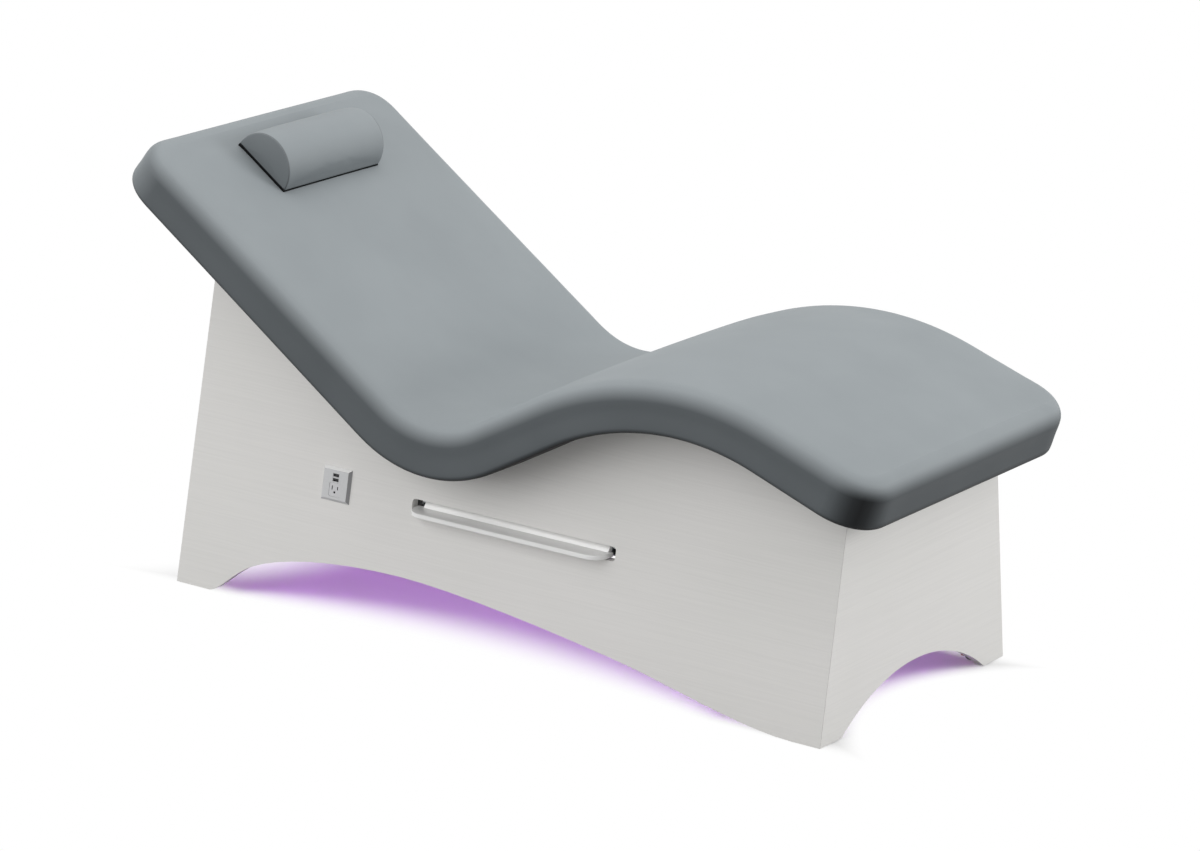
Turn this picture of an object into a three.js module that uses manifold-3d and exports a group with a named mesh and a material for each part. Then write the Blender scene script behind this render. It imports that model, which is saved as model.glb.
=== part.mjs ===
// Spa relaxation lounger: an upholstered wave top on a leaning laminate base, with a
// loose half-round pillow, a slide-out side tray, a power outlet and lighting underneath.
// Millimetres. +X points to the foot end, -Y to the side with the tray, and +Z up.

import * as THREE from 'three';
import { mergeVertices } from 'three/addons/utils/BufferGeometryUtils.js';
import Module from 'manifold-3d';

const wasm = await Module();
wasm.setup();

// Clearances
const seat = 0.3;
const overrun = 20;
const weld = 0.001;

// Wave of the upholstered top, along the middle of its upper surface
const topWidth = 762;
const topThickness = 96.4;
const planRadius = 88;
const topEdgeRadius = 34.6;
const lowEdgeRadius = 9.9;
const crown = 4;
const crownRun = 120;
const sideDraw = 2;
const headOverhang = 79;
const backTilt = THREE.MathUtils.degToRad(34.65);
const valleyRadius = 187.5;
const riseTilt = THREE.MathUtils.degToRad(29.82);
const riseLength = 156.2;
const fallTilt = THREE.MathUtils.degToRad(19.41);
const legLength = 237.8;
const footOverhang = 109.3;
const valleyHeight = 437.8;
const valleyPlace = -115.4;
const coverSkin = 2;
const hemWidth = 48;
const deckThickness = 15;

// Base
const baseLength = 1462.7;
const sideOverhang = 47.8;
const baseWidth = topWidth - 2 * sideOverhang;
const sideLean = THREE.MathUtils.degToRad(8.77);
const endLean = THREE.MathUtils.degToRad(0.854);
const panelThickness = 18;
const floorGap = 2;
const headFootWidth = 81.35;
const legFootWidth = 59.35;
const archSpan = baseLength - headFootWidth - legFootWidth;
const archPlace = (headFootWidth - legFootWidth) / 2;
const archHeight = 115.5;
const endFootWidth = 73.7;
const endArchSpan = baseWidth - 2 * endFootWidth;
const endArchHeight = 83.5;
const ribThickness = 15;
const ribBottom = 168;
const ribWindowWidth = 140;
const ribWindowHeight = 90;
const ribWindowRadius = 30;
const ribWindowPlace = 110;
const ribWindowBottom = 215;
const railWidth = 22;
const railHeight = 40;
const postSide = 40;
const postHeight = 112;

// Levelling feet
const padRadius = 19;
const padHeight = 6;
const padEdge = 1.5;
const studRadius = 4;
const studLength = 44;

// Slide-out tray
const slotLength = 459;
const slotHeight = 27;
const slotPlace = 24.5;
const slotDrop = 101.4;
const slotBottom = valleyHeight - topThickness - slotDrop;
const slotRadius = 7;
const headRibGap = 95;
const footRibGap = 76;
const headRibPlace = slotPlace - slotLength / 2 - headRibGap;
const footRibPlace = slotPlace + slotLength / 2 + footRibGap;
const noseHeadGap = 3.5;
const noseFootGap = 15.5;
const noseLength = slotLength - noseHeadGap - noseFootGap;
const nosePlace = slotPlace + (noseHeadGap - noseFootGap) / 2;
const noseReach = 31;
const noseRadius = 34;
const boardThickness = 9;
const boardEdge = 1.5;
const traySideGap = 21.5;
const trayWidth = slotLength - 2 * traySideGap;
const trayDepth = 250;
const rimHeight = 13.5;
const rimThickness = 8;
const rimSetBack = 8;
const rimSlopeShare = 0.65;
const matThickness = 2;
const boardLift = 2;
const slideHeight = 17;
const slideWidth = 9.6;
const slideMetal = 1.2;
const slideGap = 1.5;
const cheekThickness = 12;
const cheekDrop = 14;
const cheekBottom = slotBottom - cheekDrop;
const cheekHeight = 66;
const beamThickness = 18;

// Pillow
const pillowRadius = 69.5;
const pillowLength = 318;
const pillowPlace = 147;
const pillowSkin = 1.5;
const pillowHem = 14;
const pillowEnd = 7;
const domeShare = 0.25;
const gripThickness = 4;
const gripInset = 2;

// Power outlet, in the bay between the head end and the rib next to it
const plateSide = 66;
const plateFace = 56;
const plateProud = 6;
const plateWall = 2.2;
const bayHead = panelThickness - baseLength / 2;
const bayLength = headRibPlace - ribThickness / 2 - bayHead;
const outletPlaceShare = 0.8172;
const outletPlace = bayHead + outletPlaceShare * bayLength;
const outletHeight = 258;
const housingSide = 52;
const housingDepth = 42;
const housingWall = 2;
const socketWidth = 25.4;
const socketHeight = 26.3;
const socketRadius = 4;
const socketDrop = 9.9;
const bladeGap = 12.7;
const bladeWidth = 2.2;
const longBlade = 8;
const shortBlade = 6.4;
const bladeRise = 3.4;
const earthRadius = 2.4;
const earthDrop = 8.3;
const contactDepth = 14;
const usbWidth = 13.1;
const usbHeight = 5.6;
const usbShell = 0.5;
const usbPitch = 9;
const usbRise = 13.6;
const usbTongue = 1.84;
const usbTongueWidth = 10.8;
const usbSetBack = 1.2;
const usbDepth = 11.5;
const faceSetBack = 0.4;

// Power inlet
const inletPlace = 150;
const inletHeight = 205;
const inletFlangeWidth = 48;
const inletFlangeHeight = 28;
const inletFlange = 2.5;
const inletFlangeRadius = 5;
const inletBodyWidth = 28;
const inletBodyHeight = 20;
const inletBodyDepth = 30;
const inletWellWidth = 24.4;
const inletWellHeight = 16.6;
const inletWellDepth = 16;
const inletChamfer = 4;
const pinWidth = 2;
const pinHeight = 4;
const pinLength = 13;
const pinGap = 7;
const pinDrop = 1.6;
const earthRise = 2.4;

// Mains box, lighting driver and leads
const mainsBoxWidth = 80;
const mainsBoxHeight = 62;
const mainsBoxDepth = 34;
const mainsBoxWall = 2.5;
const mainsBoxPlaceShare = 0.4764;
const mainsBoxPlace = bayHead + mainsBoxPlaceShare * bayLength;
const mainsBoxBottom = 228;
const mainsLidThickness = 3;
const driverWidth = 150;
const driverHeight = 42;
const driverDepth = 30;
const driverPlaceShare = 0.42;
const driverPlace = bayHead + driverPlaceShare * bayLength;
const driverBottom = 380;
const driverEdge = 3;
const driverEar = 12;
const mainsLeadRadius = 3.5;
const ledLeadRadius = 2;
const leadSag = 14;

// Lighting profiles
const ledWidth = 17;
const ledHeight = 9;
const ledWall = 1.3;
const ledLip = 1.2;
const diffuserThickness = 1.6;
const stripThickness = 1.5;
const sideLedInset = 141;
const sideLedLength = baseLength - 2 * sideLedInset;
const sideLedHeight = 140;
const endLedInset = 168;
const endLedLength = baseWidth - 2 * endLedInset;
const endLedHeight = 104;

// Faceting
const cornerSteps = 4;
const valleySteps = 8;
const kneeSteps = 7;
const straightSteps = 2;
const roundSteps = 24;
const lowEdgeSteps = 2;
const topEdgeSteps = 4;
const hiddenLowSteps = 1;
const hiddenTopSteps = 2;
const pillowSteps = 16;
const leadSides = 5;
const leadSteps = 18;
const crossShares = [-1, -0.5, 0, 0.5, 1];

const materials = {
  laminate: finish(0xcbcac8, 0.55),
  plywood: finish(0xc4a57c, 0.7),
  upholstery: finish(0x9aa0a3, 0.6),
  foam: finish(0xe6dcbc, 0.9),
  grip: finish(0x2a2c2e, 0.85),
  tray: finish(0xe6e6e6, 0.35),
  mat: finish(0x9d9fa1, 0.9),
  steel: finish(0xa9adb0, 0.35, 0.9),
  aluminium: finish(0xc3c6c9, 0.4, 0.9),
  plate: finish(0xc6c6c8, 0.4),
  socket: finish(0xd0d0d3, 0.4),
  black: finish(0x1c1d1f, 0.5),
  diffuser: finish(0xc9a6ea, 0.4),
  driver: finish(0xe8e8e6, 0.5),
};

function finish(color, roughness, metalness = 0) {
  return new THREE.MeshStandardMaterial({ color, roughness, metalness });
}

// Closed meshes as solids, and back
function toSolid(geometry) {
  const bare = geometry.clone();
  bare.deleteAttribute('normal');
  bare.deleteAttribute('uv');
  const welded = mergeVertices(bare, weld);
  return new wasm.Manifold(new wasm.Mesh({
    numProp: 3,
    vertProperties: new Float32Array(welded.attributes.position.array),
    triVerts: new Uint32Array(welded.index.array),
  }));
}

function toGeometry(solid) {
  const mesh = solid.getMesh();
  const geometry = new THREE.BufferGeometry();
  geometry.setAttribute('position', new THREE.BufferAttribute(new Float32Array(mesh.vertProperties), 3));
  geometry.setIndex(new THREE.BufferAttribute(new Uint32Array(mesh.triVerts), 1));
  geometry.computeVertexNormals();
  return geometry;
}

function cut(geometry, ...tools) {
  return toGeometry(tools.reduce((solid, tool) => solid.subtract(toSolid(tool)), toSolid(geometry)));
}

function fuse(geometry, ...others) {
  return toGeometry(others.reduce((solid, other) => solid.add(toSolid(other)), toSolid(geometry)));
}

function common(geometry, other) {
  return toGeometry(toSolid(geometry).intersect(toSolid(other)));
}

// The same solid seen in a mirror across X, across Y or both
function mirror(geometry, scaleX, scaleY) {
  const flipped = (geometry.index ? geometry.toNonIndexed() : geometry.clone()).scale(scaleX, scaleY, 1);
  const { array } = flipped.attributes.position;
  const triangles = Array.from({ length: array.length / 9 }, (_, i) => [9 * i, 9 * i + 3, 9 * i + 6]);
  const turned = scaleX * scaleY < 0;
  return closedMesh(triangles.flatMap(([a, b, c]) => (turned ? [a, c, b] : [a, b, c])
    .flatMap((start) => [...array.subarray(start, start + 3)])));
}

// A box from its lowest corner and its sizes
function block(x, y, z, width, depth, height) {
  return new THREE.BoxGeometry(width, depth, height).translate(x + width / 2, y + depth / 2, z + height / 2);
}

function closedMesh(positions) {
  const geometry = new THREE.BufferGeometry();
  geometry.setAttribute('position', new THREE.Float32BufferAttribute(positions, 3));
  geometry.computeVertexNormals();
  return geometry;
}

// A solid between two outlines of as many points, the lower one at z0 and the upper one at z1
function loft(lower, upper, z0, z1) {
  const positions = [];
  const low = (i) => [lower[i].x, lower[i].y, z0];
  const high = (i) => [upper[i].x, upper[i].y, z1];
  lower.forEach((point, i) => {
    const next = (i + 1) % lower.length;
    positions.push(...low(i), ...low(next), ...high(next), ...low(i), ...high(next), ...high(i));
  });
  THREE.ShapeUtils.triangulateShape(lower, []).forEach(([a, b, c]) => {
    positions.push(...low(c), ...low(b), ...low(a), ...high(a), ...high(b), ...high(c));
  });
  return closedMesh(positions);
}

const axisX = new THREE.Vector3(1, 0, 0);
const axisY = new THREE.Vector3(0, 1, 0);
const axisZ = new THREE.Vector3(0, 0, 1);

// A shape drawn in X and Z, carried along Y from y0 to y1
function alongY(shape, y0, y1, curveSegments = roundSteps) {
  const geometry = new THREE.ExtrudeGeometry(shape, { depth: y1 - y0, bevelEnabled: false, curveSegments });
  return geometry.applyMatrix4(new THREE.Matrix4().makeBasis(axisX, axisZ, axisY.clone().negate()))
    .translate(0, y1, 0);
}

// A shape drawn in Y and Z, carried along X from x0 to x1
function alongX(shape, x0, x1, curveSegments = roundSteps) {
  const geometry = new THREE.ExtrudeGeometry(shape, { depth: x1 - x0, bevelEnabled: false, curveSegments });
  return geometry.applyMatrix4(new THREE.Matrix4().makeBasis(axisY, axisZ, axisX)).translate(x0, 0, 0);
}

function rectangle(x0, y0, width, height, radius = 0) {
  const shape = new THREE.Shape();
  const x1 = x0 + width;
  const y1 = y0 + height;
  if (radius === 0) {
    shape.moveTo(x0, y0).lineTo(x1, y0).lineTo(x1, y1).lineTo(x0, y1);
    return shape;
  }
  const quarter = Math.PI / 2;
  shape.absarc(x1 - radius, y0 + radius, radius, -quarter, 0);
  shape.absarc(x1 - radius, y1 - radius, radius, 0, quarter);
  shape.absarc(x0 + radius, y1 - radius, radius, quarter, 2 * quarter);
  shape.absarc(x0 + radius, y0 + radius, radius, 2 * quarter, 3 * quarter);
  return shape;
}

function outline(points) {
  return new THREE.Shape(points.map(([x, y]) => new THREE.Vector2(x, y)));
}

// The back's length and the bend over the knees take the top past both ends of the base
const waveHead = -baseLength / 2 - headOverhang;
const waveFoot = baseLength / 2 + footOverhang;
const backLength = (valleyPlace - valleyRadius * Math.sin(backTilt) - waveHead) / Math.cos(backTilt);
const kneeStart = valleyPlace + valleyRadius * Math.sin(riseTilt) + riseLength * Math.cos(riseTilt);
const kneeEnd = waveFoot - legLength * Math.cos(fallTilt);
const kneeRadius = (kneeEnd - kneeStart) / (Math.sin(riseTilt) + Math.sin(fallTilt));

// Stretches of the wave: how long each is, its slope where it starts and how it bends
const stretches = [
  { length: backLength, slope: -backTilt, bend: 0, steps: straightSteps },
  {
    length: valleyRadius * (backTilt + riseTilt),
    slope: -backTilt,
    bend: 1 / valleyRadius,
    steps: valleySteps,
  },
  { length: riseLength, slope: riseTilt, bend: 0, steps: 1 },
  { length: kneeRadius * (riseTilt + fallTilt), slope: riseTilt, bend: -1 / kneeRadius, steps: kneeSteps },
  { length: legLength, slope: -fallTilt, bend: 0, steps: 1 },
];
placeStretches();
const waveLength = stretches.reduce((sum, stretch) => sum + stretch.length, 0);

function placeStretches() {
  let start = 0;
  let x = waveHead;
  let z = valleyHeight + valleyRadius * (1 - Math.cos(backTilt)) + backLength * Math.sin(backTilt);
  stretches.forEach((stretch) => {
    Object.assign(stretch, { start, x, z });
    ({ x, z } = along(stretch, stretch.length));
    start += stretch.length;
  });
}

// The point and slope at a distance along one stretch
function along({ x, z, slope, bend }, distance) {
  if (bend === 0) {
    return { x: x + distance * Math.cos(slope), z: z + distance * Math.sin(slope), slope };
  }
  const turned = slope + distance * bend;
  return {
    x: x + (Math.sin(turned) - Math.sin(slope)) / bend,
    z: z - (Math.cos(turned) - Math.cos(slope)) / bend,
    slope: turned,
  };
}

// A place in the top: s along it, y across it and h above its underside
function onWave(s, y, h) {
  const stretch = stretches.findLast((candidate) => candidate.start <= s) ?? stretches[0];
  const { x, z, slope } = along(stretch, s - stretch.start);
  const up = h - topThickness;
  return new THREE.Vector3(x - up * Math.sin(slope), y, z + up * Math.cos(slope));
}

// Rows of the top from the head end to the foot end: round the corners and through each stretch
function waveRows() {
  const corner = Array.from({ length: cornerSteps + 1 }, (_, i) => (i / cornerSteps) * Math.PI / 2);
  const head = corner.map((a) => ({ s: planRadius, lengthwise: -Math.cos(a), crosswise: Math.sin(a) }));
  const foot = corner.map((a) => ({
    s: waveLength - planRadius, lengthwise: Math.sin(a), crosswise: Math.cos(a),
  }));
  const middle = stretches.flatMap(({ start, length, steps }) => (
    Array.from({ length: steps }, (_, i) => ({
      s: start + (length * (i + 1)) / steps, lengthwise: 0, crosswise: 1,
    }))
  )).slice(0, -1);
  return [...head, ...middle, ...foot];
}

const rows = waveRows();

function drawIn(s) {
  const share = s / waveLength;
  return sideDraw * 4 * share * (1 - share);
}

function crownRise(s, across) {
  const fromEnd = Math.min(s, waveLength - s, crownRun) / crownRun;
  return crown * (1 - across * across) * Math.sin((fromEnd * Math.PI) / 2);
}

// One point of a pad: its row, its share of the half width, its inset from the plan, its height
// and how much of the crown it takes
function padPoint(row, across, [inset, h, rise]) {
  const s = row.s + row.lengthwise * (planRadius - inset);
  const half = topWidth / 2 - planRadius + row.crosswise * (planRadius - inset - drawIn(s));
  return onWave(s, across * half, h + rise * crownRise(s, across));
}

// A pad that follows the wave, from its rings, the lowest one first
function wavePad(rings) {
  const positions = [];
  const last = rows.length - 1;
  const quad = (a, b, c, d) => [a, b, c, a, c, d]
    .forEach((point) => positions.push(point.x, point.y, point.z));
  const face = (ring, turned) => rows.slice(1).forEach((row, k) => {
    crossShares.slice(1).forEach((share, j) => {
      const corners = [[rows[k], crossShares[j]], [row, crossShares[j]], [row, share], [rows[k], share]]
        .map(([at, across]) => padPoint(at, across, ring));
      quad(...(turned ? corners.reverse() : corners));
    });
  });
  const edge = [
    ...rows.slice(0, last).map((row) => [row, crossShares[0]]),
    ...crossShares.slice(0, -1).map((share) => [rows[last], share]),
    ...rows.slice(1).reverse().map((row) => [row, crossShares.at(-1)]),
    ...crossShares.slice(1).reverse().map((share) => [rows[0], share]),
  ];
  face(rings[0], true);
  face(rings.at(-1), false);
  rings.slice(1).forEach((ring, r) => edge.forEach((corner, i) => {
    const next = edge[(i + 1) % edge.length];
    quad(
      padPoint(...corner, rings[r]), padPoint(...next, rings[r]),
      padPoint(...next, ring), padPoint(...corner, ring));
  }));
  return closedMesh(positions);
}

// Rings of a pad's edge, square or rounded below and above, with the crown on the last one
function edgeRings(inset, low, high, lowRadius = 0, lowSteps = 0, highRadius = 0, highSteps = 0, rise = 0) {
  const turns = (steps) => Array.from({ length: steps + 1 }, (_, i) => (
    steps === 0 ? 0 : ((i / steps) * Math.PI) / 2));
  const below = turns(lowSteps).map((a) => [
    inset + lowRadius * (1 - Math.sin(a)), low + lowRadius * (1 - Math.cos(a)), 0]);
  const above = turns(highSteps).map((a) => [
    inset + highRadius * (1 - Math.cos(a)), high - highRadius * (1 - Math.sin(a)), 0]);
  above.at(-1)[2] = rise;
  return [...below, ...above];
}

const deckLow = coverSkin + seat;
const deckHigh = deckLow + deckThickness;

function cushionCover() {
  const outside = wavePad(edgeRings(
    0, 0, topThickness, lowEdgeRadius, lowEdgeSteps, topEdgeRadius, topEdgeSteps, 1));
  const inside = wavePad(edgeRings(
    coverSkin, coverSkin, topThickness - coverSkin,
    lowEdgeRadius - coverSkin, hiddenLowSteps, topEdgeRadius - coverSkin, hiddenTopSteps, 1));
  const window = wavePad(edgeRings(hemWidth, -overrun, coverSkin + seat));
  return cut(outside, inside, window);
}

function foamCore() {
  const inset = coverSkin + seat;
  const high = topThickness - inset;
  return wavePad(edgeRings(inset, deckHigh + seat, high, 0, 0, topEdgeRadius - inset, hiddenTopSteps, 1));
}

// The deck is a flat board under the back, a bent one under the seat and a flat one under the legs,
// parted square to the wave where it starts and stops bending
function deckBoards() {
  const whole = wavePad(edgeRings(
    coverSkin + seat, deckLow, deckHigh, lowEdgeRadius - coverSkin - seat, hiddenLowSteps));
  const saws = [stretches[1], stretches.at(-1)].map(({ start, slope }) => {
    const { x, z } = onWave(start, 0, (deckLow + deckHigh) / 2);
    return block(-seat / 2, -topWidth / 2, -deckThickness, seat, topWidth, 2 * deckThickness)
      .rotateY(-slope).translate(x, 0, z);
  });
  const headEnd = (board) => board.boundingBox().min[0];
  return toSolid(cut(whole, ...saws)).decompose()
    .sort((one, other) => headEnd(one) - headEnd(other)).map(toGeometry);
}

// Underside of the deck at a height h, as points in X and Z from head to foot
function waveLine(h) {
  return stretches.flatMap(({ start, length, steps }, i) => (
    Array.from({ length: steps + 1 }, (_, k) => start + (length * k) / steps).slice(i === 0 ? 0 : 1)
  )).map((s) => {
    const point = onWave(s, 0, h);
    return [point.x, point.z];
  });
}

// Everything above the tops of the base, for cutting them to the wave
function aboveBase() {
  const line = waveLine(deckLow - seat);
  const roof = onWave(0, 0, topThickness).z + overrun;
  const [first, last] = [line[0], line.at(-1)];
  const shape = outline([
    [first[0] - overrun, first[1] + overrun],
    ...line,
    [last[0] + overrun, last[1]],
    [last[0] + overrun, roof],
    [first[0] - overrun, roof],
  ]);
  return alongY(shape, -topWidth / 2, topWidth / 2);
}

// Half length and half width of the base at a height, at its outer face or further in
function halfAt(z, depth = 0) {
  return new THREE.Vector2(
    baseLength / 2 - z * Math.tan(endLean) - depth / Math.cos(endLean),
    baseWidth / 2 - z * Math.tan(sideLean) - depth / Math.cos(sideLean),
  );
}

const blankHeight = onWave(0, 0, topThickness).z;
const mitreBack = seat / Math.SQRT2;

// The near side panel before its cuts, mitred to the end panels; the far one is its mirror image
function sideBlank() {
  const plan = (z) => {
    const outer = halfAt(z);
    const inner = halfAt(z, panelThickness);
    return [
      new THREE.Vector2(-outer.x + mitreBack, -outer.y),
      new THREE.Vector2(outer.x - mitreBack, -outer.y),
      new THREE.Vector2(inner.x - mitreBack, -inner.y),
      new THREE.Vector2(-inner.x + mitreBack, -inner.y),
    ];
  };
  return loft(plan(0), plan(blankHeight), 0, blankHeight);
}

function endBlank() {
  const plan = (z) => {
    const outer = halfAt(z);
    const inner = halfAt(z, panelThickness);
    return [
      new THREE.Vector2(inner.x, -inner.y + mitreBack),
      new THREE.Vector2(outer.x, -outer.y + mitreBack),
      new THREE.Vector2(outer.x, outer.y - mitreBack),
      new THREE.Vector2(inner.x, inner.y - mitreBack),
    ];
  };
  return loft(plan(0), plan(blankHeight), 0, blankHeight);
}

// The long arch under a side: steep at the head end, its crown off centre, and a long fall to the foot
const archShares = {
  start: [-0.5, 0],
  rise: [[-0.485, 0.02], [-0.462, 0.37], [-0.432, 0.54]],
  crown: [[-0.387, 0.81], [-0.288, 1], [-0.171, 1]],
  fall: [[-0.076, 1], [0.105, 0.745], [0.241, 0.485]],
  end: [[0.332, 0.277], [0.43, 0], [0.5, 0]],
};

function sideArch() {
  const at = ([alongShare, upShare]) => [archPlace + alongShare * archSpan, upShare * archHeight];
  const shape = new THREE.Shape();
  shape.moveTo(...at(archShares.start));
  [archShares.rise, archShares.crown, archShares.fall, archShares.end]
    .forEach((curve) => shape.bezierCurveTo(...curve.flatMap(at)));
  shape.lineTo(at(archShares.end[2])[0], -overrun);
  shape.lineTo(at(archShares.start)[0], -overrun);
  return alongY(shape, -baseWidth, baseWidth, cornerSteps * 2);
}

// The arch under an end is part of a circle
function endArch() {
  const half = endArchSpan / 2;
  const radius = (half * half + endArchHeight * endArchHeight) / (2 * endArchHeight);
  const reach = Math.asin(half / radius);
  const shape = new THREE.Shape();
  shape.absarc(0, endArchHeight - radius, radius, Math.PI / 2 + reach, Math.PI / 2 - reach, true);
  shape.lineTo(half, -overrun);
  shape.lineTo(-half, -overrun);
  return alongX(shape, -baseLength, baseLength, roundSteps);
}

// A frame on one face of the base: local X along the face, Y into the base and Z up the face
function faceFrame(turn, half, lean) {
  return new THREE.Matrix4().makeRotationZ(turn)
    .multiply(new THREE.Matrix4().makeTranslation(0, -half, 0))
    .multiply(new THREE.Matrix4().makeRotationX(-lean));
}

const faces = {
  near: faceFrame(0, baseWidth / 2, sideLean),
  far: faceFrame(Math.PI, baseWidth / 2, sideLean),
  foot: faceFrame(Math.PI / 2, baseLength / 2, endLean),
  head: faceFrame(-Math.PI / 2, baseLength / 2, endLean),
};

const outletUp = outletHeight / Math.cos(sideLean);
const inletUp = inletHeight / Math.cos(endLean);

function nearPanel() {
  const slot = alongY(
    rectangle(slotPlace - slotLength / 2, slotBottom, slotLength, slotHeight, slotRadius),
    -baseWidth, 0, cornerSteps);
  const side = housingSide + 2 * seat;
  const outletHole = block(outletPlace - side / 2, -overrun, outletUp - side / 2,
    side, panelThickness + 2 * overrun, side).applyMatrix4(faces.near);
  return cut(sideBlank(), aboveBase(), sideArch(), slot, outletHole);
}

function farPanel() {
  const mirrored = sideBlank().rotateZ(Math.PI);
  return cut(mirrored, aboveBase(), sideArch());
}

function footPanel() {
  return cut(endBlank(), aboveBase(), endArch());
}

function headPanel() {
  const width = inletBodyWidth + 2 * seat;
  const height = inletBodyHeight + 2 * seat;
  const hole = block(inletPlace - width / 2, -overrun, inletUp - height / 2,
    width, panelThickness + 2 * overrun, height).applyMatrix4(faces.head);
  return cut(endBlank().rotateZ(Math.PI), aboveBase(), endArch(), hole);
}

// A curved rail under the deck, inside a side panel; grown by clear it cuts the notch in a rib
function deckRail(clear = 0) {
  const upper = waveLine(deckLow - seat + clear);
  const lower = waveLine(deckLow - seat - railHeight - clear).reverse();
  const band = alongY(outline([...lower, ...upper].reverse()), -baseWidth, 0);
  const plan = (z) => {
    const { x, y } = halfAt(z, panelThickness);
    const [outer, inner] = [-y + seat - clear, -y + seat + railWidth + clear];
    return [[-x + seat, outer], [x - seat, outer], [x - seat, inner], [-x + seat, inner]]
      .map((point) => new THREE.Vector2(...point));
  };
  return common(band, loft(plan(0), plan(blankHeight), 0, blankHeight));
}

function crossRib(place) {
  const plan = (z) => {
    const half = halfAt(z, panelThickness).y - seat;
    const [x0, x1] = [place - ribThickness / 2, place + ribThickness / 2];
    return [[x0, -half], [x1, -half], [x1, half], [x0, half]].map((point) => new THREE.Vector2(...point));
  };
  const window = alongX(
    rectangle(
      ribWindowPlace - ribWindowWidth / 2, ribWindowBottom, ribWindowWidth, ribWindowHeight, ribWindowRadius),
    place - ribThickness, place + ribThickness, cornerSteps);
  const notch = deckRail(seat);
  return cut(
    loft(plan(ribBottom), plan(blankHeight), ribBottom, blankHeight),
    aboveBase(), window, notch, mirror(notch, 1, -1));
}

// A post in a corner of the base, bored for the stud of its levelling foot
const postLow = padHeight - floorGap + seat;

function footPlace(sideX, sideY) {
  const { x, y } = halfAt(postLow, panelThickness);
  return new THREE.Vector3(
    sideX * (x - seat - postSide / 2), sideY * (y - seat - postSide / 2), -floorGap);
}

function cornerPost() {
  const plan = (z) => {
    const { x, y } = halfAt(z, panelThickness).subScalar(seat);
    return [[x - postSide, y - postSide], [x, y - postSide], [x, y], [x - postSide, y]]
      .map((point) => new THREE.Vector2(...point));
  };
  const top = postLow + postHeight;
  const { x, y } = footPlace(1, 1);
  const depth = studLength + overrun;
  const bore = new THREE.CylinderGeometry(studRadius + seat, studRadius + seat, depth, roundSteps)
    .rotateX(Math.PI / 2).translate(x, y, postLow + studLength - depth / 2);
  return cut(loft(plan(postLow), plan(top), postLow, top), bore);
}

function levellingFoot() {
  const profile = [
    [0, 0], [padRadius - padEdge, 0], [padRadius, padEdge], [padRadius, padHeight - padEdge],
    [padRadius - padEdge, padHeight], [studRadius, padHeight], [studRadius, padHeight + studLength],
    [0, padHeight + studLength],
  ].map((point) => new THREE.Vector2(...point));
  return new THREE.LatheGeometry(profile, roundSteps).rotateX(Math.PI / 2);
}

// Heights and edges of the tray, its slides and the boards that carry them
const boardLow = slotBottom + boardLift;
const boardHigh = boardLow + boardThickness;
const trayFace = -halfAt(boardHigh).y;
const trayFront = trayFace - noseReach;
const trayBack = trayFace + trayDepth;
const trayLeft = slotPlace - trayWidth / 2;
const trayRight = slotPlace + trayWidth / 2;
const slideLow = boardLow + slideGap;
const slideHigh = slideLow + slideHeight;
const slideFront = seat - halfAt(slideLow, panelThickness).y + slideHeight * Math.tan(sideLean);
const slideRight = trayRight + slideGap + slideWidth;

function trayBoard() {
  const left = nosePlace - noseLength / 2;
  const right = nosePlace + noseLength / 2;
  const shoulder = -halfAt(boardLow, panelThickness).y;
  const shape = new THREE.Shape();
  shape.absarc(right - noseRadius, trayFront + noseRadius, noseRadius, -Math.PI / 2, 0);
  shape.lineTo(right, shoulder).lineTo(trayRight, shoulder).lineTo(trayRight, trayBack);
  shape.lineTo(trayLeft, trayBack).lineTo(trayLeft, shoulder).lineTo(left, shoulder);
  shape.absarc(left + noseRadius, trayFront + noseRadius, noseRadius, Math.PI, (3 * Math.PI) / 2);
  return new THREE.ExtrudeGeometry(shape, {
    depth: boardThickness - 2 * boardEdge,
    bevelSize: boardEdge,
    bevelThickness: boardEdge,
    bevelOffset: -boardEdge,
    bevelSegments: 1,
    curveSegments: cornerSteps * 2,
  }).translate(0, 0, boardLow + boardEdge);
}

// The raised rim round the tray, sloped along its front
const rimLow = boardHigh + seat;
const rimFront = trayFace + rimSetBack;
const rimInnerFront = rimFront + rimHeight * rimSlopeShare + rimThickness;

function trayRim() {
  const top = rimLow + rimHeight;
  const side = outline([
    [rimFront, rimLow], [trayBack, rimLow], [trayBack, top], [rimFront + rimHeight * rimSlopeShare, top],
  ]);
  return cut(alongX(side, trayLeft, trayRight), block(
    trayLeft + rimThickness, rimInnerFront, rimLow - overrun,
    trayWidth - 2 * rimThickness, trayBack - rimThickness - rimInnerFront, rimHeight + 2 * overrun));
}

function trayMat() {
  const inset = rimThickness + seat;
  return block(
    trayLeft + inset, rimInnerFront + seat, rimLow,
    trayWidth - 2 * inset, trayBack - inset - rimInnerFront - seat, matThickness);
}

// Two nested channels: the rail is fixed to the cheek and the runner to the tray
function slideRail() {
  const left = slideRight - slideWidth;
  const web = slideRight - slideMetal;
  const shape = outline([
    [left, slideLow], [slideRight, slideLow], [slideRight, slideHigh], [left, slideHigh],
    [left, slideHigh - slideMetal], [web, slideHigh - slideMetal], [web, slideLow + slideMetal],
    [left, slideLow + slideMetal],
  ]);
  return alongY(shape, slideFront, trayBack);
}

function slideRunner() {
  const left = trayRight + seat;
  const right = slideRight - slideMetal - seat;
  const low = slideLow + slideMetal + seat;
  const high = slideHigh - slideMetal - seat;
  const web = left + slideMetal;
  const shape = outline([
    [left, low], [right, low], [right, low + slideMetal], [web, low + slideMetal],
    [web, high - slideMetal], [right, high - slideMetal], [right, high], [left, high],
  ]);
  return alongY(shape, slideFront, trayBack);
}

const beamFront = trayBack + seat;
const cheekTop = cheekBottom + cheekHeight;

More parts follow.
